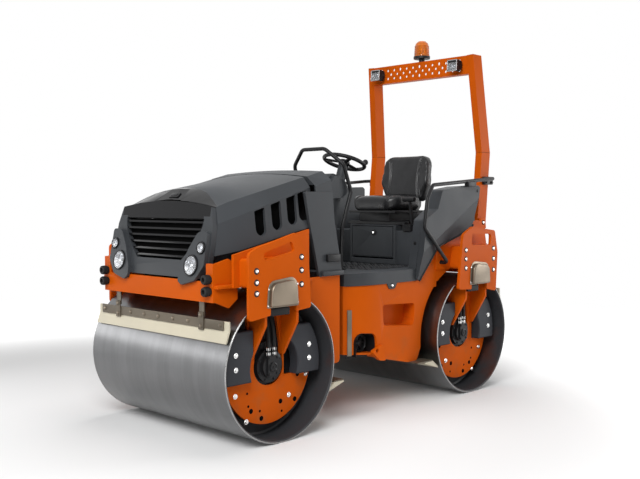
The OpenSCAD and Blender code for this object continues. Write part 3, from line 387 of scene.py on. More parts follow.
def rounded(*corners, steps=6):
    """An outline from (x, y, radius) corners."""
    spots = [Vector((x, y)) for x, y, _ in corners]
    outline = []
    for i, (_, _, radius) in enumerate(corners):
        here, before, after = spots[i], spots[i - 1], spots[(i + 1) % len(spots)]
        if not radius:
            outline.append(here)
            continue
        u, v = (before - here).normalized(), (after - here).normalized()
        half = acos(max(-1.0, min(1.0, u.dot(v)))) / 2
        reach = min(radius / tan(half), 0.49 * (before - here).length, 0.49 * (after - here).length)
        centre = here + (u + v).normalized() * reach / cos(half)
        start, end = here + u * reach - centre, here + v * reach - centre
        turn = start.angle_signed(end)
        outline += [centre + Matrix.Rotation(-turn * k / steps, 2) @ start for k in range(steps + 1)]
    return [tuple(p) for p in outline]


def opened(mesh):
    """A bmesh of a mesh."""
    form = bmesh.new()
    form.from_mesh(mesh)
    return form


def closed(form, mesh):
    """Writes a bmesh to its mesh, and frees it."""
    form.to_mesh(mesh)
    form.free()
    return mesh


def new_mesh(name, form):
    return closed(form, bpy.data.meshes.new(name))


def link(name, data):
    """A new object in the scene."""
    made = bpy.data.objects.new(name, data)
    bpy.context.scene.collection.objects.link(made)
    return made


def round_edges(form, edges, radius, segments=3):
    bmesh.ops.bevel(form, geom=edges, offset=radius, offset_type="OFFSET", affect="EDGES", segments=segments,
                    profile=0.5, material=-1, clamp_overlap=True)


def lift(form, grown, height):
    """Moves what an extrusion has grown along Z."""
    verts = [v for v in grown["geom"] if isinstance(v, bmesh.types.BMVert)]
    bmesh.ops.translate(form, vec=(0, 0, height), verts=verts)


class Shape:
    """A mesh in the making: each call adds a closed form with its finish number."""

    def __init__(self):
        self.mesh = bmesh.new()

    def take(self, form, kind, move=HERE):
        """Adds a form, merged and moved to its place, with its faces outwards."""
        bmesh.ops.remove_doubles(form, verts=form.verts, dist=1e-6)
        bmesh.ops.transform(form, matrix=move, verts=form.verts)
        bmesh.ops.recalc_face_normals(form, faces=form.faces)
        for face in form.faces:
            face.material_index = kind
        held = new_mesh("held", form)
        self.mesh.from_mesh(held)
        bpy.data.meshes.remove(held)

    def box(self, first, second, edge=0.003, kind=0, move=HERE):
        """A block between two opposite corners, with rounded edges."""
        pairs = list(zip(first, second))
        low, high = Vector([min(pair) for pair in pairs]), Vector([max(pair) for pair in pairs])
        form = bmesh.new()
        size = Matrix.Diagonal((*(high - low), 1))
        bmesh.ops.create_cube(form, size=1, matrix=Matrix.Translation((low + high) / 2) @ size)
        round_edges(form, form.edges, edge)
        self.take(form, kind, move)

    def lathe(self, profile, move=HERE, kind=0, steps=40):
        """Spins a profile of (radius, height) pairs about Z."""
        form = bmesh.new()
        points = [form.verts.new((r, 0, h)) for r, h in profile]
        for pair in zip(points, points[1:]):
            form.edges.new(pair)
        bmesh.ops.spin(form, geom=form.verts[:] + form.edges[:], cent=(0, 0, 0), axis=(0, 0, 1), angle=2 * pi,
                       steps=steps, use_merge=True)
        self.take(form, kind, move)

    def plate(self, outline, thick, move=HERE, kind=0, edge=0.002, segments=3):
        """A flat outline in XY, made thick along Z and rounded at its edges."""
        form = bmesh.new()
        face = form.faces.new([form.verts.new((x, y, 0)) for x, y in outline])
        lift(form, bmesh.ops.extrude_face_region(form, geom=[face], use_keep_orig=True), thick)
        if edge:
            flat = [e for e in form.edges if abs(e.verts[0].co.z - e.verts[1].co.z) < 1e-7]
            round_edges(form, flat, edge, segments)
        self.take(form, kind, move)

    def strip(self, points, depth, wall, move=HERE, kind=0):
        """A thin wall along an open run of points in XY, standing along Z."""
        form = bmesh.new()
        run = [form.verts.new((x, y, 0)) for x, y in points]
        edges = [form.edges.new(pair) for pair in zip(run, run[1:])]
        lift(form, bmesh.ops.extrude_edge_only(form, edges=edges), depth)
        bmesh.ops.recalc_face_normals(form, faces=form.faces)
        bmesh.ops.solidify(form, geom=form.faces[:], thickness=wall)
        self.take(form, kind, move)

    def tube(self, points, radius, kind=0, smooth=True):
        """A round tube through points."""
        curve = bpy.data.curves.new("run", "CURVE")
        curve.dimensions = "3D"
        curve.bevel_depth = radius
        curve.bevel_resolution = 4
        curve.resolution_u = 8
        curve.use_fill_caps = True
        line = curve.splines.new("BEZIER")
        line.bezier_points.add(len(points) - 1)
        for spot, point in zip(line.bezier_points, points):
            spot.co = point
            spot.handle_left_type = spot.handle_right_type = "AUTO" if smooth else "VECTOR"
        run = bpy.data.objects.new("run", curve)
        mesh = bpy.data.meshes.new_from_object(run)
        form = opened(mesh)
        bpy.data.objects.remove(run)
        bpy.data.curves.remove(curve)
        bpy.data.meshes.remove(mesh)
        self.take(form, kind)

    def dome(self, place, axis, radius, height, kind=0, way=1, ring=0.0, ring_kind=0):
        """A round-headed fastener that stands out along an axis, with a flat ring under it."""
        move = at(place, axis, way)
        if ring:
            washer = [(0, 0), (ring, 0), (ring, 0.0012), (ring - 0.001, 0.002), (0, 0.002)]
            self.lathe(washer, move, ring_kind, 24)
        head = [(0, 0), (radius, 0), (radius, height * 0.35), (radius * 0.86, height * 0.72),
                (radius * 0.5, height * 0.95), (0, height)]
        self.lathe(head, move, kind, 20)

    def hexagon(self, place, axis, radius, height, kind=0, way=1, washer=0.002):
        """A hexagon bolt head on its washer."""
        move = at(place, axis, way)
        if washer:
            wide = radius * 1.45
            self.lathe([(0, 0), (wide, 0), (wide, washer), (0, washer)], move, kind, 24)
        outline = [(radius * cos(i * pi / 3), radius * sin(i * pi / 3)) for i in range(6)]
        head = move @ Matrix.Translation((0, 0, washer))
        self.plate(outline, height, head, kind, edge=min(0.0012, height / 4))

    def piece(self, name, body, finishes, slot, replaces=(), smooth=32):
        """Makes the mesh an object on its body."""
        return show(name, new_mesh(name, self.mesh), body, finishes, replaces, smooth)


def show(name, mesh, body, finishes, replaces=(), smooth=32):
    """A piece on its body, with its finishes and with edges sharp above an angle."""
    made = link(name, mesh)
    for each in finishes:
        mesh.materials.append(finish(each))
    mesh.shade_smooth()
    mesh.set_sharp_from_angle(angle=radians(smooth))
    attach(made, body)
    if replaces:
        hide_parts(*replaces)
    return made


def node_copy(node):
    """A merged copy of a solid's mesh, with its flat faces joined up."""
    form = opened(frame["nodes"][node].data)
    bmesh.ops.remove_doubles(form, verts=form.verts, dist=1e-5)
    bmesh.ops.dissolve_limit(form, angle_limit=radians(0.4), verts=form.verts, edges=form.edges)
    for face in form.faces:
        face.material_index = 0
    return form


def keep_mesh(made):
    """Keeps what the modifiers make as the piece's own mesh."""
    graph = bpy.context.evaluated_depsgraph_get()
    mesh = bpy.data.meshes.new_from_object(made.evaluated_get(graph), depsgraph=graph)
    made.modifiers.clear()
    old, made.data = made.data, mesh
    name = old.name
    bpy.data.meshes.remove(old)
    mesh.name = name


def dress(node, coat=None, edge=None, smooth=32, segments=2):
    """Stands a copy of a solid in its place, with rounded edges and its finish."""
    name, slot = node + "_skin", SLOT_OF[node]
    made = show(name, new_mesh(name, node_copy(node)), BODY_OF[node], [coat or slot], [node], smooth)
    if edge is None:
        edge = bpy.context.scene.roller_trim.edge_radius
    if edge:
        rounding = made.modifiers.new("rounding", "BEVEL")
        rounding.width = edge
        rounding.segments = segments
        rounding.limit_method = "ANGLE"
        rounding.angle_limit = radians(smooth)
        rounding.harden_normals = True
    return made


# Settings


COLOUR = {"subtype": "COLOR", "min": 0, "max": 1}


class RollerPaint(bpy.types.PropertyGroup):
    """Colours that an owner would change."""

    orange: FloatVectorProperty(name="Orange", description="Paint of the frames and the rollover frame",
                                default=(0.62, 0.1, 0.003), **COLOUR)
    grey: FloatVectorProperty(name="Grey", description="Panels of the hood, cowl, tanks and platform",
                              default=(0.04, 0.0435, 0.048), **COLOUR)
    steel: FloatVectorProperty(name="Steel", description="Face of the drums",
                               default=(0.205, 0.207, 0.211), **COLOUR)
    zinc: FloatVectorProperty(name="Zinc", description="Plated bars and covers",
                              default=(0.2, 0.165, 0.125), **COLOUR)
    bar: FloatVectorProperty(name="Bar", description="Dull plate of the scraper bars",
                             default=(0.125, 0.104, 0.076), **COLOUR)
    blade: FloatVectorProperty(name="Blade", description="Plastic of the scraper blades",
                               default=(0.6, 0.55, 0.42), **COLOUR)
    amber: FloatVectorProperty(name="Amber", description="Lens of the beacon",
                               default=(0.72, 0.18, 0.004), **COLOUR)


class RollerTrim(bpy.types.PropertyGroup):
    """Sizes of rounded edges, fasteners and hoses."""

    edge_radius: FloatProperty(name="Edge radius", description="Rounding of yokes and motors", unit="LENGTH",
                               min=0.001, max=0.01, default=0.004)
    bolt_radius: FloatProperty(name="Bolt radius", description="Radius of the yokes' bolt heads",
                               unit="LENGTH", min=0.005, max=0.02, default=0.0115)
    hose_radius: FloatProperty(name="Hose radius", description="Radius of the motors' hoses", unit="LENGTH",
                               min=0.006, max=0.02, default=0.013)
    bar_bolts: IntProperty(name="Bar bolts", description="Bolts along each scraper bar",
                           min=4, max=14, default=9)


class RollerStudio(bpy.types.PropertyGroup):
    """The camera and the light."""

    eye: FloatVectorProperty(name="Eye", description="Where the camera stands", subtype="XYZ",
                             default=(4.594, 4.497, 1.443))
    yaw: FloatProperty(name="Yaw", description="Turn of the view from forward", subtype="ANGLE",
                       default=radians(-135.83))
    pitch: FloatProperty(name="Pitch", description="Tilt of the view above level", subtype="ANGLE",
                         default=radians(-2.42))
    lens: FloatProperty(name="Lens", description="Focal length in millimetres",
                        min=20, max=200, default=49.53)
    sky: FloatProperty(name="Sky", description="Strength of the light from all round",
                       min=0, max=2, default=0.13)


# Operators


class ROLLER_OT_stage(bpy.types.Operator):
    """Sets the floor, the light and the camera"""

    bl_idname = "roller.stage"
    bl_label = "Studio"

    def execute(self, context):
        studio = context.scene.roller_studio
        context.scene.view_settings.view_transform = "Standard"
        self.floor()
        self.sky(context.scene, studio.sky)
        self.lamp("top_light", (-0.8, -0.3, 6.0), (0.0, 0, 0.0), (4.0, 4.0), 170).visible_glossy = False
        self.lamp("key_light", (5.0, 3.1, 4.6), (0.2, 0, 0.8), (4.0, 3.0), 370)
        self.lamp("front_light", (2.9, -2.2, 1.1), (1.4, 0, 0.4), (2.4, 0.6), 12)
        self.lamp("rear_light", (-4.8, 3.6, 1.9), (-1.0, 0.6, 1.5), (2.2, 2.4), 95)
        level = cos(studio.pitch)
        heading = Vector((level * cos(studio.yaw), level * sin(studio.yaw), sin(studio.pitch)))
        camera = link("camera", bpy.data.cameras.new("camera"))
        camera.data.lens = studio.lens
        camera.data.sensor_width = 36
        camera.data.clip_end = 200
        self.stand(camera, studio.eye, heading)
        context.scene.camera = camera
        return {"FINISHED"}

    @staticmethod
    def stand(made, place, heading):
        """Puts the camera or a lamp in its place, looking along its heading."""
        made.location = place
        made.rotation_euler = heading.to_track_quat("-Z", "Y").to_euler()

    def floor(self):
        """A pale floor that is white to the camera where no shadow falls."""
        form = bmesh.new()
        bmesh.ops.create_grid(form, x_segments=1, y_segments=1, size=60)
        ground = link("floor", new_mesh("floor", form))
        made = Finish("floor", (0.86, 0.86, 0.86), 0.95, **sheen(0.0), **{"Emission Strength": 1.0})
        x, y, _ = made.axes()
        x, y = x - 1.0, y + 0.5
        away = x * x + y * y
        glow = made.mix(away.between(5.0, 22.0), (0.03, 0.03, 0.03), (1.0, 1.0, 1.0))
        made.vary("Base Color", made.mix(away.between(26.0, 60.0), made.colour, (0, 0, 0)))
        made.vary("Emission Color", made.mix(made.seen(), (0, 0, 0), glow))
        ground.data.materials.append(made.material)

    def sky(self, scene, strength):
        """White behind the object, and a plain even light from all round."""
        scene.world = bpy.data.worlds.new("studio")
        made = Tree(scene.world)
        white = (1, 1, 1, 1)
        light = made.node("ShaderNodeBackground", inputs={"Color": white, "Strength": strength})
        backdrop = made.node("ShaderNodeBackground", inputs={"Color": white, "Strength": 1.0})
        both = made.node("ShaderNodeMixShader", inputs={0: made.seen(), 1: light, 2: backdrop})
        made.node("ShaderNodeOutputWorld", inputs={"Surface": both})

    def lamp(self, name, place, aim, size, power):
        light = bpy.data.lights.new(name, "AREA")
        light.shape = "RECTANGLE"
        light.size, light.size_y = size
        light.energy = power
        made = link(name, light)
        self.stand(made, place, Vector(aim) - Vector(place))
        return made


class ROLLER_OT_frames(bpy.types.Operator):
    """Dresses both frames, their buffers, the steering joint and the locking bar"""

    bl_idname = "roller.frames"
    bl_label = "Frames"

    def execute(self, context):
        for node in ("front_frame", "rear_frame"):
            dress(node, edge=0.005)
        for node in ("joint_block", "pivot_pin", "lock_bar"):
            dress(node, edge=0.002)
        for end, body in HALVES:
            self.buffers(end, body)
        self.fittings()
        return {"FINISHED"}

    def buffers(self, end, body):
        """Rubber buffers with a round recess, two on each corner of the bumper."""
        node = body + "_buffers"
        low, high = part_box(node)
        face = min(abs(low.x), abs(high.x))
        reach = max(abs(low.x), abs(high.x)) - face
        r = 0.029
        profile = [(0, 0), (r - 0.004, 0), (r - 0.004, 0.008), (r, 0.011), (r, reach - 0.012),
                   (r - 0.002, reach - 0.003), (r - 0.006, reach), (0.014, reach), (0.012, reach - 0.014),
                   (0, reach - 0.014)]
        shape = Shape()
        for side in SIDES:
            for z in (low.z + r, high.z - r):
                shape.lathe(profile, at((end * face, side * (high.y - r), z), "X", end), 0, 36)
        shape.piece(node + "_moulded", body, ["rubber"], "rubber", [node])

    def fittings(self):
        """A lined panel with a spoked round port in each side hatch, and the platform's bolted tabs."""
        panel = rounded((0.0, 0.375, 0), (0.222, 0.385, 0), (0.222, 0.572, 0.06), (0.0, 0.555, 0.06))
        liner = rounded((0.0135, 0.4, 0), (0.0135, 0.5435, 0.058), (0.2075, 0.5605, 0.058), (0.2075, 0.4, 0))
        tab = rounded((-0.2, 0.885, 0), (-0.084, 0.885, 0), (-0.112, 0.84, 0.02), (-0.172, 0.84, 0.02))
        ring = [(0.052, 0), (0.062, 0), (0.062, 0.02), (0.059, 0.024), (0.055, 0.024), (0.052, 0.02),
                (0.052, 0)]
        hub = [(0, 0), (0.02, 0), (0.02, 0.014), (0.016, 0.018), (0, 0.019)]
        recess, panel_thick = 0.4905, 0.003
        skirt, tab_thick = 0.5905, 0.007
        shape = Shape()
        for side in SIDES:
            shape.plate(panel, panel_thick, upright(side, recess), 0)
            shape.strip(liner, 0.082, 0.0015, upright(side, recess), 0)
            port = at((0.104, side * (recess + panel_thick), 0.478), "Y", side)
            shape.lathe(ring, port, 2, 48)
            shape.lathe(hub, port, 2, 32)
            for turn in range(6):
                spoke = port @ Matrix.Rotation(turn * pi / 3, 4, "Z")
                shape.box((0.018, -0.004, 0.004), (0.054, 0.004, 0.013), 0.002, 2, spoke)
            shape.plate(tab, tab_thick, upright(side, skirt), 3)
            shape.dome((-0.142, side * (skirt + tab_thick), 0.864), "Y", 0.01, 0.007, 1, side, 0.016, 0)
        finishes = ["black_plastic", "chrome", "black_metal", "grey_panel"]
        shape.piece("hull_fittings", "rear", finishes, "black_plastic")


class ROLLER_OT_yokes(bpy.types.Operator):
    """Dresses the yokes, with their covers, weights, motors, hoses and bolts"""

    bl_idname = "roller.yokes"
    bl_label = "Yokes"

    # Places along and up: from the model's origin on the plates, and from the axle on the carriers
    plate_bolts = {
        1: ((1.233, 1.047), (1.233, 0.981), (1.233, 0.917),
            (0.871, 1.114), (0.871, 1.034), (0.871, 0.949)),
        -1: ((-0.845, 1.088), (-0.845, 1.022), (-0.845, 0.954),
             (-1.21, 1.089), (-1.21, 1.01), (-1.21, 0.924)),
    }
    carrier_bolts = ((0.265, -0.15), (-0.17, -0.205), (-0.319, -0.094), (0.18, -0.315))
    big_holes = ((-0.10, -0.235), (-0.222, -0.24), (0.142, -0.258), (0.059, -0.315), (-0.247, -0.085))
    small_holes = ((0.071, -0.268), (0.163, -0.226), (0.172, -0.147), (-0.11, -0.297))

    def execute(self, context):
        trim = context.scene.roller_trim
        for end, body in HALVES:
            for side in ("left", "right"):
                dress(f"{body}_yoke_{side}")
            dress(body + "_motors")
            dress(body + "_weights", edge=0.012, segments=3)
            self.covers(end, body)
            self.fasteners(end, body, trim.bolt_radius)
            self.hoses(end, body, trim.hose_radius)
        return {"FINISHED"}

    def covers(self, end, body):
        """Pressed covers: a flange with screws and a round-shouldered dish, with a rubber block below."""
        flange = rounded((-0.095, -0.14, 0.008), (0.162, -0.14, 0.008),
                         (0.15, 0.016, 0.058), (-0.082, 0.04, 0.058))
        dish = rounded((-0.078, -0.134, 0.012), (0.146, -0.134, 0.012),
                       (0.134, 0.003, 0.056), (-0.067, 0.025, 0.056))
        screws = ((0.148, -0.03), (-0.083, -0.01), (-0.087, -0.122), (0.155, -0.126))
        flange_thick = 0.004
        block = Vector((0.17 if end > 0 else 0.14, 0.05, 0.045))
        over_axle = Matrix.Translation((end * AXLE.x, DECK, 0)) @ Matrix.Diagonal((end, 1, 1, 1))
        shape = Shape()
        for side in SIDES:
            face = upright(side, YOKE_FACE) @ over_axle
            shape.plate(flange, flange_thick, face, 0, edge=0.0015)
            shape.plate(dish, 0.0278, face, 0, edge=0.019, segments=6)
            for x, z in screws:
                spot = (end * (AXLE.x + x), side * (YOKE_FACE + flange_thick), DECK + z)
                shape.dome(spot, "Y", 0.006, 0.004, 1, side)
            low = Vector((end * AXLE.x - 0.03, side * (YOKE_FACE - 0.03) - 0.025, DECK - 0.19))
            shape.box(low, low + block, 0.006, 2)
        finishes = ["zinc_plate", "chrome", "rubber"]
        shape.piece(body + "_covers_pressed", body, finishes, "zinc_plate", [body + "_covers"])

    def fasteners(self, end, body, radius):
        """Bright bolts on the plates and carriers, and near-black discs that paint the shade in the carriers'
        holes.
        """
        carrier = DRUM_HALF - 0.13
        shape = Shape()
        for side in SIDES:
            for x, z in self.plate_bolts[end]:
                shape.dome((x, side * YOKE_FACE, z), "Y", radius, 0.009, 0, side, radius * 1.7, 1)
            for x, z in self.carrier_bolts:
                shape.hexagon(by_axle(end, side, x, carrier, z), "Y", 0.011, 0.009, 0, side)
            # Painted shade: each hole in a carrier is a flat near-black disc
            for spots, r in ((self.big_holes, 0.0155), (self.small_holes, 0.008)):
                hole_shade_disc = [(0, -0.004), (r, -0.004), (r, 0.0006), (0, 0.0006)]
                for x, z in spots:
                    shape.lathe(hole_shade_disc, at(by_axle(end, side, x, carrier, z), "Y", side), 2, 24)
            for x in (-0.29, 0.31):
                for z in (0.105, 0.02):
                    shape.hexagon(by_axle(end, side, x, carrier + 0.06, z), "Y", 0.011, 0.008, 0, side)
        shape.piece(body + "_yoke_bolts", body, ["chrome", "black_metal", "dark_hole"], "zinc_plate")

    def hoses(self, end, body, radius):
        """Bright nuts on each motor's ports, black hoses up into the frame, and the motor's bolts."""
        nut = [(0, 0), (0.013, 0), (0.0145, 0.003), (0.0145, 0.02), (0.013, 0.024), (0, 0.024)]
        cap = [(0, 0), (0.03, 0), (0.03, 0.006), (0.024, 0.008), (0.02, 0.003), (0.008, 0.003),
               (0.006, 0.007), (0, 0.007)]
        # Away from the machine's middle, inward and up from a port
        run = ((0, 0, 0), (0, 0, 0.12), (0.004, 0.008, 0.2), (0.012, 0.035, 0.28), (0.016, 0.04, 0.36))
        motor_face, flange_face, bolt_circle = 0.606, 0.572, 0.089
        shape = Shape()
        for side in SIDES:
            for x in (-0.022, 0.024):
                port = Vector(by_axle(end, side, x, 0.585, 0.05))
                for rise in (0.014, 0.044):
                    shape.lathe(nut, Matrix.Translation(port + Vector((0, 0, rise))), 0, 6)
                shape.tube([port + Vector((end * a, -side * b, c)) for a, b, c in run], radius, 1)
            shape.lathe(cap, at(by_axle(end, side, 0, motor_face, -0.005), "Y", side), 2, 28)
            for z in (0.052, -0.046):
                for x in (-0.032, 0.032):
                    shape.hexagon(by_axle(end, side, x, motor_face, z), "Y", 0.007, 0.006, 2, side, 0)
            for turn in range(8):
                a = radians(22.5 + 45 * turn)
                x, z = bolt_circle * cos(a), bolt_circle * sin(a)
                place = (end * AXLE.x + x, side * flange_face, AXLE.z + z)
                shape.hexagon(place, "Y", 0.008, 0.007, 2, side, 0)
        shape.piece(body + "_hoses", body, ["chrome", "rubber", "black_metal"], "black_metal")


class ROLLER_OT_drums(bpy.types.Operator):
    """Spins both drums from their section"""

    bl_idname = "roller.drums"
    bl_label = "Drums"

    def execute(self, context):
        # Distance from the drum's middle and radius, from the web out along the bore and round the rim
        half = [(0.48, 0.0405), (0.48, 0.07), (0.486, 0.07), (0.486, 0.1), (0.48, 0.104), (0.48, 0.42),
                (0.487, 0.433), (0.682, 0.433), (0.688, 0.438), (0.69, 0.442), (0.69, 0.4465), (0.687, 0.45)]
        section = [(r, y) for y, r in half] + [(r, -y) for y, r in reversed(half)]
        section.append(section[0])
        inside, rim = 0.441, 0.6825
        finishes = ["drum_steel", "rim_steel", "drum_inside"]
        for end, body in HALVES:
            node = body + "_drum"
            axle = Vector((end * AXLE.x, 0, AXLE.z))
            shape = Shape()
            shape.lathe(section, at(axle, "Y"), 0, 160)
            for face in shape.mesh.faces:
                spot = face.calc_center_median()
                if (spot - axle).xz.length < inside:
                    face.material_index = 2
                elif abs(spot.y) > rim:
                    face.material_index = 1
            shape.piece(node + "_rolled", node, finishes, "drum_steel", [node], 24)
        return {"FINISHED"}


class ROLLER_OT_scrapers(bpy.types.Operator):
    """Dresses the scraper bars and blades, and bolts them up"""

    bl_idname = "roller.scrapers"
    bl_label = "Scrapers"

    def execute(self, context):
        count = context.scene.roller_trim.bar_bolts
        reach, arm_place, arm_half = DRUM_HALF - 0.09, 0.433, 0.04
        for end, body in HALVES:
            dress(body + "_scrapers", "dull_zinc", 0.0015)
            dress(body + "_blades", edge=0.0015)
            arm = max(abs(corner.x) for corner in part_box(body + "_scrapers"))
            along = [-reach + 2 * reach * i / (count - 1) for i in range(count)]
            spots = [(arm - 0.008, y, 0.74) for y in along if abs(abs(y) - arm_place) > arm_half]
            spots += [(arm, side * arm_place, z) for side in SIDES for z in (0.722, 0.786)]
            shape = Shape()
            for x, y, z in spots:
                shape.dome((end * x, y, z), "X", 0.011, 0.007, 1, end, 0.016, 0)
            shape.piece(body + "_scraper_bolts", body, ["dull_zinc", "zinc_plate"], "zinc_plate")
        return {"FINISHED"}


class ROLLER_OT_hood(bpy.types.Operator):
    """Dresses the hood, nose, grille, cowl and the engine under them"""

    bl_idname = "roller.hood"
    bl_label = "Hood"

    def execute(self, context):
        self.keen(dress("hood", "hood_panel", 0.009, 38, 3))
        dress("nose_panel", "hood_panel", 0.006, 30, 3)
        dress("grille", "black_gloss", 0.004, 30, 3)
        dress("cowl", edge=0.008, smooth=26, segments=3)
        dress("engine", edge=0.02)
        dress("hood_hinge", edge=0.002)
        self.trim()
        return {"FINISHED"}

    @staticmethod
    def keen(made):
        """Rounds the hood's long shoulder lines as well as its edges, and leaves its front roll smooth."""
        form = opened(made.data)
        weight = form.edges.layers.float.new("bevel_weight_edge")
        for edge in form.edges:
            run = (edge.verts[0].co - edge.verts[1].co).normalized()
            turn = edge.calc_face_angle(0.0)
            if turn > radians(38) or turn > radians(14) and abs(run.x) > 0.8:
                edge[weight] = 1.0
                edge.smooth = False
        closed(form, made.data)
        made.modifiers[0].limit_method = "WEIGHT"

    def trim(self):
        """The hood's latch, near-black sheets behind its slots and grille that paint the shade inside them,
        and the small steps on the cowl.
        """
        liner = ((0.668, 1.29), (1.085, 1.198), (1.085, 1.385), (0.668, 1.508))
        shape = Shape()
        slope = leaning((1.268, 0, 1.487), 42)
        shape.box((-0.02, -0.045, -0.004), (0.02, 0.045, 0.004), 0.003, 1, slope)
        shape.box((-0.011, -0.03, 0.002), (0.011, 0.03, 0.007), 0.002, 1, slope)
        # Painted shade: a near-black sheet behind each side's slots, so that they read deep and dark
        for side in SIDES:
            shape.plate(liner, 0.004, upright(side, 0.49), 0)
        # Painted shade: a near-black sheet fills the grille's opening behind the slats, so that the gaps
        # between them read black
        low, high, steps = -0.321, -0.071, 12
        grille_shade_outline = []
        for i in range(steps + 1):
            rise = i / steps
            grille_shade_outline.append((-low - (high - low) * rise, 0.231 + 0.168 * sin(pi / 2 * rise)))
        grille_shade_outline += [(down, -half) for down, half in reversed(grille_shade_outline)]
        shape.plate(grille_shade_outline, 0.0012, NOSE @ at((-0.0348, 0, 0), "X"), 0, edge=0)
        shape.piece("hood_trim", "hood", ["dark_hole", "black_metal"], "black_plastic")
        inner, outer = 0.574, 0.598
        shape = Shape()
        for side in SIDES:
            shape.box((0.383, side * inner, 1.058), (0.503, side * outer, 1.107), 0.006, 1)
            shape.box((0.352, side * inner, 0.968), (0.545, side * outer, 1.0), 0.006, 0)
        shape.piece("cowl_steps", "front", ["grey_panel", "black_plastic"], "grey_panel")


class ROLLER_OT_headlamps(bpy.types.Operator):
    """Builds the headlamps: bezel, bright dish, bulb and lens"""

    bl_idname = "roller.headlamps"
    bl_label = "Headlamps"

    def execute(self, context):
        shape, glass = Shape(), Shape()
        for side in SIDES:
            for y, z, r in ((0.373, -0.352, 0.063), (0.446, -0.246, 0.037)):
                move = NOSE @ at((0.0105, side * y, z), "X")
                bezel = [(0, 0), (r, 0), (r, 0.0255), (r - 0.002, 0.0285), (r - 0.007, 0.0285),
                         (r - 0.0085, 0.024), (r - 0.0085, 0.006), (0, 0.006)]
                dish = [(0.001, 0.0065), (r * 0.3, 0.0075), (r * 0.6, 0.011), (r * 0.8, 0.017),
                        (r - 0.009, 0.0235), (r - 0.0089, 0.0062), (0.001, 0.0062)]
                bulb = [(0, 0.007), (r * 0.2, 0.0075), (r * 0.2, 0.015), (r * 0.13, 0.019), (0, 0.02)]
                cover = [(0, 0.0255), (r * 0.6, 0.025), (r - 0.0075, 0.0225), (r - 0.0075, 0.0255),
                         (r * 0.6, 0.0285), (0, 0.0295)]
                shape.lathe(bezel, move, 0, 48)
                shape.lathe(dish, move, 1, 48)
                shape.lathe(bulb, move, 2, 24)
                glass.lathe(cover, move, 0, 48)
        finishes = ["black_plastic", "mirror_dish", "chrome"]
        shape.piece("headlamp_dishes", "hood", finishes, "lamp_glass", ["headlamps"])
        glass.piece("headlamp_lenses", "hood", ["lamp_glass"], "lamp_glass")
        return {"FINISHED"}


class ROLLER_OT_platform(bpy.types.Operator):
    """Dresses the platform, console and handrail, with the floor's tread, the dash and the steering wheel"""

    bl_idname = "roller.platform"
    bl_label = "Platform"

    def execute(self, context):
        dress("platform", edge=0.008, smooth=30, segments=3)
        self.tread()
        dress("console", edge=0.012, segments=3)
        dress("handrail", edge=0, smooth=50)
        self.dash()
        self.wheel()
        return {"FINISHED"}

    def tread(self):
        """A dark plate on the floor with raised bars, each turned across its neighbours."""
        pitch, rows, columns = 0.034, 15, 12
        back, half, margin = -0.578, 0.43, 0.015
        front = back + (rows - 1) * pitch
        bar = [(0.0165, 0), (0.007, 0.0058), (-0.007, 0.0058),
               (-0.0165, 0), (-0.007, -0.0058), (0.007, -0.0058)]
        shape = Shape()
        shape.box((back - margin, -half, DECK), (front + margin, half, DECK + 0.0015), 0.0005)
        for i in range(rows):
            for j in range(-columns, columns + 1):
                place = Matrix.Translation((back + i * pitch, j * pitch, DECK + 0.001))
                turned = place @ Matrix.Rotation(radians(45 if (i + j) % 2 else -45), 4, "Z")
                shape.plate(bar, 0.0035, turned, edge=0.0014, segments=1)
        shape.piece("floor_tread", "rear", ["tread_plate"], "black_plastic", smooth=20)

    def dash(self):
        """A round gauge on the dash, between two groups of rockers."""
        shape = Shape()
        slope = leaning((-0.03, 0, DECK + 0.664), -18.4)
        shape.box((-0.04, -0.08, -0.004), (0.05, 0.08, 0.006), 0.003, 0, slope)
        gauge = [(0, 0), (0.03, 0), (0.032, 0.002), (0.032, 0.008), (0.028, 0.009), (0.027, 0.006),
                 (0, 0.006)]
        shape.lathe(gauge, slope @ Matrix.Translation((0.008, 0, 0.005)), 1, 32)
        for y in (-0.17, -0.145, -0.12, 0.12, 0.145, 0.17):
            shape.box((-0.02, y - 0.009, -0.002), (0.02, y + 0.009, 0.009), 0.003, 0, slope)
        shape.piece("dash_gauges", "rear", ["black_plastic", "black_gloss"], "black_plastic")

    def wheel(self):
        """The steering wheel: a thick rim, three dished spokes, a hub cap and a turning knob."""
        rim, grip, sides = 0.155, 0.0148, 16
        ring = [(rim + grip * cos(a), grip * sin(a)) for a in (2 * pi * i / sides for i in range(sides + 1))]
        hub = [(0, -0.0245), (0.04, -0.0245), (0.042, -0.02), (0.042, 0.004), (0.036, 0.013), (0.02, 0.0155),
               (0, 0.016)]
        knob = [(0, 0), (0.009, 0), (0.009, 0.022), (0.02, 0.03), (0.022, 0.042), (0.017, 0.055),
                (0.008, 0.0615), (0, 0.062)]
        shape = Shape()
        shape.lathe(ring, WHEEL, 0, 72)
        shape.lathe(hub, WHEEL, 1, 40)
        for turn in (60, 180, 300):
            spoke = WHEEL @ Matrix.Rotation(radians(turn), 4, "Z")
            shape.box((0.03, -0.015, -0.01), (0.15, 0.015, 0.004), 0.005, 0, spoke)
        on_rim = WHEEL @ Matrix.Rotation(radians(140), 4, "Z") @ Matrix.Translation((rim, 0, 0))
        shape.lathe(knob, on_rim, 0, 28)
        shape.piece("steering_wheel_moulded", "steering_wheel", ["black_plastic", "black_gloss"],
                    "black_plastic", ["steering_wheel"], 40)


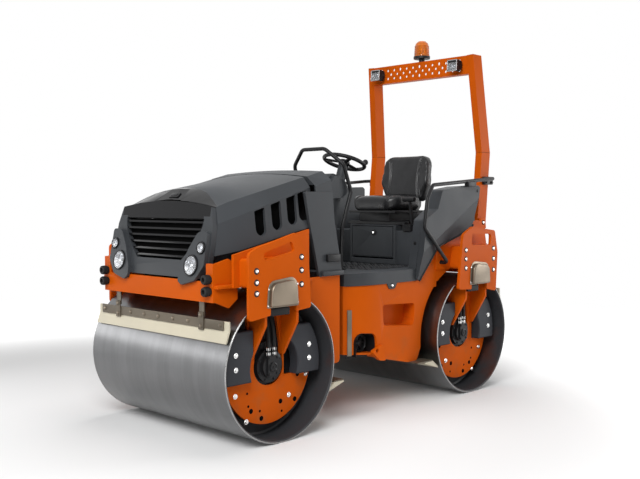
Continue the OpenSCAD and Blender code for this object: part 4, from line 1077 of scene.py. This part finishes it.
class ROLLER_OT_seat(bpy.types.Operator):
    """Builds the seat box, its door, the slide and the sewn cushions"""

    bl_idname = "roller.seat"
    bl_label = "Seat"

    def execute(self, context):
        dress("seat_box", edge=0.008)
        dress("locker_door", edge=0.006)
        dress("seat_slide", edge=0.003)
        dress("travel_lever", edge=0.005, smooth=40)
        self.cushion("seat_cushion", Vector((0, 0, 1)), Vector((1, 0, 0)))
        self.cushion("seat_back", Vector((0.99, 0, 0.14)), Vector((-0.14, 0, 0.99)))
        collar = [(0, 0), (0.021, 0), (0.021, 0.004), (0.018, 0.007), (0.011, 0.007), (0.01, 0.004),
                  (0, 0.004)]
        barrel = [(0, 0.004), (0.009, 0.004), (0.008, 0.008), (0, 0.0085)]
        lock = at((-0.6145, 0.02, 1.209), "X")
        shape = Shape()
        shape.lathe(collar, lock, 0)
        shape.lathe(barrel, lock, 1, 24)
        shape.piece("locker_lock", BODY_OF["locker_door"], ["black_plastic", "chrome"], "black_plastic")
        return {"FINISHED"}

    def cushion(self, node, face, along):
        """Swells a slightly smaller copy of the cushion's solid under pressure, then sews its seams."""
        name, start_size = node + "_sewn", 0.972
        form = node_copy(node)
        centre = middle(node)
        shrink = Matrix.Translation(centre) @ Matrix.Scale(start_size, 4) @ Matrix.Translation(-centre)
        bmesh.ops.transform(form, matrix=shrink, verts=form.verts)
        made = show(name, new_mesh(name, form), BODY_OF[node], ["seat_vinyl"], [node], 80)
        remesh = made.modifiers.new("even", "REMESH")
        remesh.mode = "VOXEL"
        remesh.voxel_size = 0.009
        keep_mesh(made)
        self.swell(made, most=0.014)
        self.soften(made)
        finer = made.modifiers.new("finer", "SUBSURF")
        finer.levels = finer.render_levels = 1
        keep_mesh(made)
        self.sew(made, centre, face, along)
        made.data.shade_smooth()

    @staticmethod
    def soften(made):
        """Rounds the corners that the solid's outline leaves."""
        form = opened(made.data)
        for _ in range(14):
            bmesh.ops.smooth_vert(form, verts=form.verts, factor=0.5,
                                  use_axis_x=True, use_axis_y=True, use_axis_z=True)
        closed(form, made.data)

    @staticmethod
    def swell(made, most):
        """Inflates the cushion as cloth under pressure, no point further than a cap."""
        rest = [v.co.copy() for v in made.data.vertices]
        cloth = made.modifiers.new("swell", "CLOTH")
        cloth.settings.use_pressure = True
        cloth.settings.uniform_pressure_force = 4
        cloth.settings.effector_weights.gravity = 0
        scene = bpy.context.scene
        for step in range(1, 21):
            scene.frame_set(step)
        keep_mesh(made)
        scene.frame_set(1)
        for vertex, start in zip(made.data.vertices, rest):
            moved = vertex.co - start
            if moved.length > most:
                vertex.co = start + moved.normalized() * most

    @staticmethod
    def sew(made, centre, face, along):
        """Crowns the padded side, brings its bolsters forward, and sews waisted seams with piping."""
        bolster_start, bolster_wide, bolster_rise = 0.12, 0.12, 0.035
        crown_half, crown_rise = 0.15, 0.01
        waist, flare, half_run = 0.136, 0.03, 0.2
        groove_half, groove_depth = 0.014, 0.014
        piping_gap, piping_half, piping_rise = 0.018, 0.011, 0.006
        normals = [normal.vector.copy() for normal in made.data.vertex_normals]
        for vertex, normal in zip(made.data.vertices, normals):
            toward = max(0.0, normal.dot(face))
            out = abs(vertex.co.y)
            run = (vertex.co - centre).dot(along) / half_run
            bolster = max(0.0, min(1.0, (out - bolster_start) / bolster_wide)) ** 2
            crown = max(0.0, 1 - (out / crown_half) ** 2)
            seam = waist + flare * min(1.0, run * run)
            groove = max(0.0, 1 - abs(out - seam) / groove_half) ** 2
            piping = max(0.0, 1 - abs(out - seam - piping_gap) / piping_half) ** 2
            relief = crown_rise * crown + piping_rise * piping - groove_depth * groove
            vertex.co += face * (bolster_rise * bolster + toward * relief)


class ROLLER_OT_tanks(bpy.types.Operator):
    """Dresses the tanks beside and behind the seat, and the grab rails"""

    bl_idname = "roller.tanks"
    bl_label = "Tanks and rails"

    def execute(self, context):
        for name, side in zip(("left", "right"), SIDES):
            self.fold(dress("fender_" + name, edge=0.012, segments=4), side)
            dress("side_rail_" + name, edge=0, smooth=50)
        dress("rear_tank", edge=0.02, segments=4)
        # Painted shadow: a black rubber tube along each tank's lower edge stands in for the shadow in the gap
        # there
        gap_shadow_line = ((-0.428, 0.88), (-0.592, 1.086), (-0.614, 1.108), (-0.657, 1.13), (-1.06, 1.237),
                (-1.08, 1.247), (-1.093, 1.272))
        shape = Shape()
        for side in SIDES:
            shape.dome((-1.1, side * 0.6495, 1.53), "Y", 0.008, 0.005, 0, side, 0.012, 1)
            shape.dome((-0.43, side * 0.57, 1.15), "X", 0.008, 0.005, 0, 1, 0.012, 1)
            shape.tube([(x, side * (0.648 - self.folded(x, z)), z) for x, z in gap_shadow_line], 0.009, 1, False)
            shape.box((-1.395, side * 0.571, 1.582), (-1.275, side * 0.6, 1.645), 0.008, 0)
            for x in (-1.37, -1.3):
                shape.hexagon((x, side * 0.6, 1.6), "Y", 0.01, 0.008, 0, side)
            shape.box((-1.03, side * 0.65, 1.56), (-0.925, side * 0.69, 1.6), 0.006, 0)
        shape.piece("tank_fittings", "rear", ["black_metal", "rubber"], "black_metal")
        return {"FINISHED"}

    outer_face = 0.645
    fold_start, fold_end = Vector((-1.108, 0, 1.472)), Vector((-0.573, 0, 1.166))
    fold_down = Vector((fold_end.z - fold_start.z, 0, fold_start.x - fold_end.x)).normalized()

    def folded(self, x, z):
        """How far a tank's outer face lies inward at a point, past its fold line."""
        return 0.2 * max(0.0, (Vector((x, 0, z)) - self.fold_start).dot(self.fold_down))

    def fold(self, made, side):
        """Bends the lower rear corner of a tank's outer face inward along a line."""
        form = opened(made.data)
        outer = [f for f in form.faces if abs(f.calc_center_median().y) > self.outer_face]
        bmesh.ops.triangulate(form, faces=outer)
        bmesh.ops.bisect_plane(form, geom=form.verts[:] + form.edges[:] + form.faces[:], dist=1e-5,
                               plane_co=self.fold_start, plane_no=self.fold_down)
        for vertex in form.verts:
            if abs(vertex.co.y) > self.outer_face:
                vertex.co.y -= side * self.folded(vertex.co.x, vertex.co.z)
        closed(form, made.data)
        made.data.set_sharp_from_angle(angle=radians(4))


class ROLLER_OT_rollover(bpy.types.Operator):
    """Dresses the rollover frame, its lamps and the beacon"""

    bl_idname = "roller.rollover"
    bl_label = "Rollover frame"

    def execute(self, context):
        for node in ("rops_post_left", "rops_post_right"):
            dress(node, edge=0.009, segments=3)
        self.beam()
        dress("beacon_base", edge=0.003)
        dress("tail_lamps", edge=0.006, segments=3)
        self.work_lamps()
        self.beacon()
        lug = rounded((-1.3, 1.24, 0), (-1.21, 1.24, 0), (-1.225, 1.318, 0.025), (-1.285, 1.318, 0.025))
        lug_face, lug_thick = 0.5795, 0.02
        shape = Shape()
        for side in SIDES:
            shape.box((-1.3895, side * 0.5115, 1.835), (-1.2745, side * 0.5705, 1.8375), 0.0005, 0)
            shape.plate(lug, lug_thick, upright(side, lug_face), 1, edge=0.003)
            shape.dome((-1.256, side * (lug_face + lug_thick), 1.285), "Y", 0.011, 0.008, 2, side, 0.018, 0)
        shape.piece("post_fittings", "rear", ["dark_hole", "orange_paint", "chrome"], "orange_paint")
        return {"FINISHED"}

    def beam(self):
        """The beam with three rows of holes punched through it."""
        made = dress("rops_beam", edge=0.005)
        low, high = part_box("rops_beam")
        pitch, radius = 0.2 / 3, 0.0105
        punch = bmesh.new()
        for row, share in enumerate((0.73, 0.5, 0.27)):
            for i in range(-5, 6 - row % 2):
                y = (i + row % 2 / 2) * pitch
                place = ((low.x + high.x) / 2, y, low.z + share * (high.z - low.z))
                bmesh.ops.create_cone(punch, cap_ends=True, segments=20, radius1=radius, radius2=radius,
                                      depth=0.4, matrix=at(place, "X"))
        mesh = new_mesh("punch", punch)
        tool = link("punch", mesh)
        holes = made.modifiers.new("holes", "BOOLEAN")
        holes.object = tool
        holes.solver = "EXACT"
        made.modifiers.move(len(made.modifiers) - 1, 0)
        keep_mesh(made)
        bpy.data.objects.remove(tool)
        bpy.data.meshes.remove(mesh)

    def work_lamps(self):
        """Work lamps: the case, a dark plate framed by bright bars, two small reflectors and the lens."""
        dress("work_lamps", edge=0.006, segments=3)
        low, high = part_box("work_lamps")
        shape, glass = Shape(), Shape()
        for side in SIDES:
            face = leaning((high.x - 0.0035, side * (high.y - 0.048), (low.z + high.z) / 2), -4)
            shape.box((-0.001, -0.04, -0.038), (0.0016, 0.04, 0.036), 0.001, 0, face)
            glass.box((0.0018, -0.041, -0.039), (0.0042, 0.041, 0.037), 0.001, 0, face)
            for way in SIDES:
                post, rail, half = way * 0.0435, way * 0.0415 - 0.001, 0.0035
                shape.box((0, post - half, -0.046), (0.008, post + half, 0.044), 0.002, 1, face)
                shape.box((0, -0.047, rail - half), (0.008, 0.047, rail + half), 0.002, 1, face)
            for y in (-0.018, 0.018):
                shape.dome(face @ Vector((0.0012, y, -0.001)), "X", 0.011, 0.0012, 2)
        shape.piece("work_lamp_dishes", "rear", ["dark_casting", "rim_steel", "mirror_dish"], "lamp_glass")
        glass.piece("work_lamp_lenses", "rear", ["lamp_glass"], "lamp_glass")

    def beacon(self):
        """The beacon's ribbed amber lens over a bright core."""
        low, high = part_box("beacon_lens")
        base = Matrix.Translation(((low.x + high.x) / 2, 0, low.z))
        r, h = (high.x - low.x) / 2, high.z - low.z
        profile = [(0, 0), (r, 0)]
        ribs = 9
        for i in range(ribs):
            rise = 0.008 + (h * 0.66 - 0.008) * i / (ribs - 1)
            slim = r - 0.004 * i / (ribs - 1)
            profile += [(slim, rise), (slim - 0.003, rise + 0.004)]
        profile += [(r - 0.014, h * 0.85), (r * 0.5, h * 0.98), (0, h)]
        shape = Shape()
        shape.lathe(profile, base, 0, 56)
        shape.lathe([(0, 0.004), (0.02, 0.004), (0.02, 0.06), (0.012, 0.072), (0, 0.074)], base, 1, 24)
        shape.piece("beacon_lens_ribbed", "rear", ["amber_lens", "chrome"], "amber_lens", ["beacon_lens"], 28)


class ROLLER_PT_panel(bpy.types.Panel):
    """Lists the steps and the settings"""

    bl_label = "Road roller"
    bl_space_type = "VIEW_3D"
    bl_region_type = "UI"
    bl_category = "Roller"

    def draw(self, context):
        for group in (context.scene.roller_paint, context.scene.roller_trim, context.scene.roller_studio):
            for name in group.__annotations__:
                self.layout.prop(group, name)
        for step in STEPS:
            self.layout.operator(step.bl_idname)


SETTINGS = {"roller_paint": RollerPaint, "roller_trim": RollerTrim, "roller_studio": RollerStudio}
STEPS = (ROLLER_OT_stage, ROLLER_OT_frames, ROLLER_OT_yokes, ROLLER_OT_drums, ROLLER_OT_scrapers,
         ROLLER_OT_hood, ROLLER_OT_headlamps, ROLLER_OT_platform, ROLLER_OT_seat, ROLLER_OT_tanks,
         ROLLER_OT_rollover)
CLASSES = (*SETTINGS.values(), *STEPS, ROLLER_PT_panel)


def register():
    for kind in CLASSES:
        bpy.utils.register_class(kind)
    for name, kind in SETTINGS.items():
        setattr(bpy.types.Scene, name, PointerProperty(type=kind))


def unregister():
    for name in SETTINGS:
        delattr(bpy.types.Scene, name)
    for kind in reversed(CLASSES):
        bpy.utils.unregister_class(kind)


def main():
    register()
    for step in STEPS:
        group, name = step.bl_idname.split(".")
        getattr(getattr(bpy.ops, group), name)()


if __name__ == "__main__":
    main()
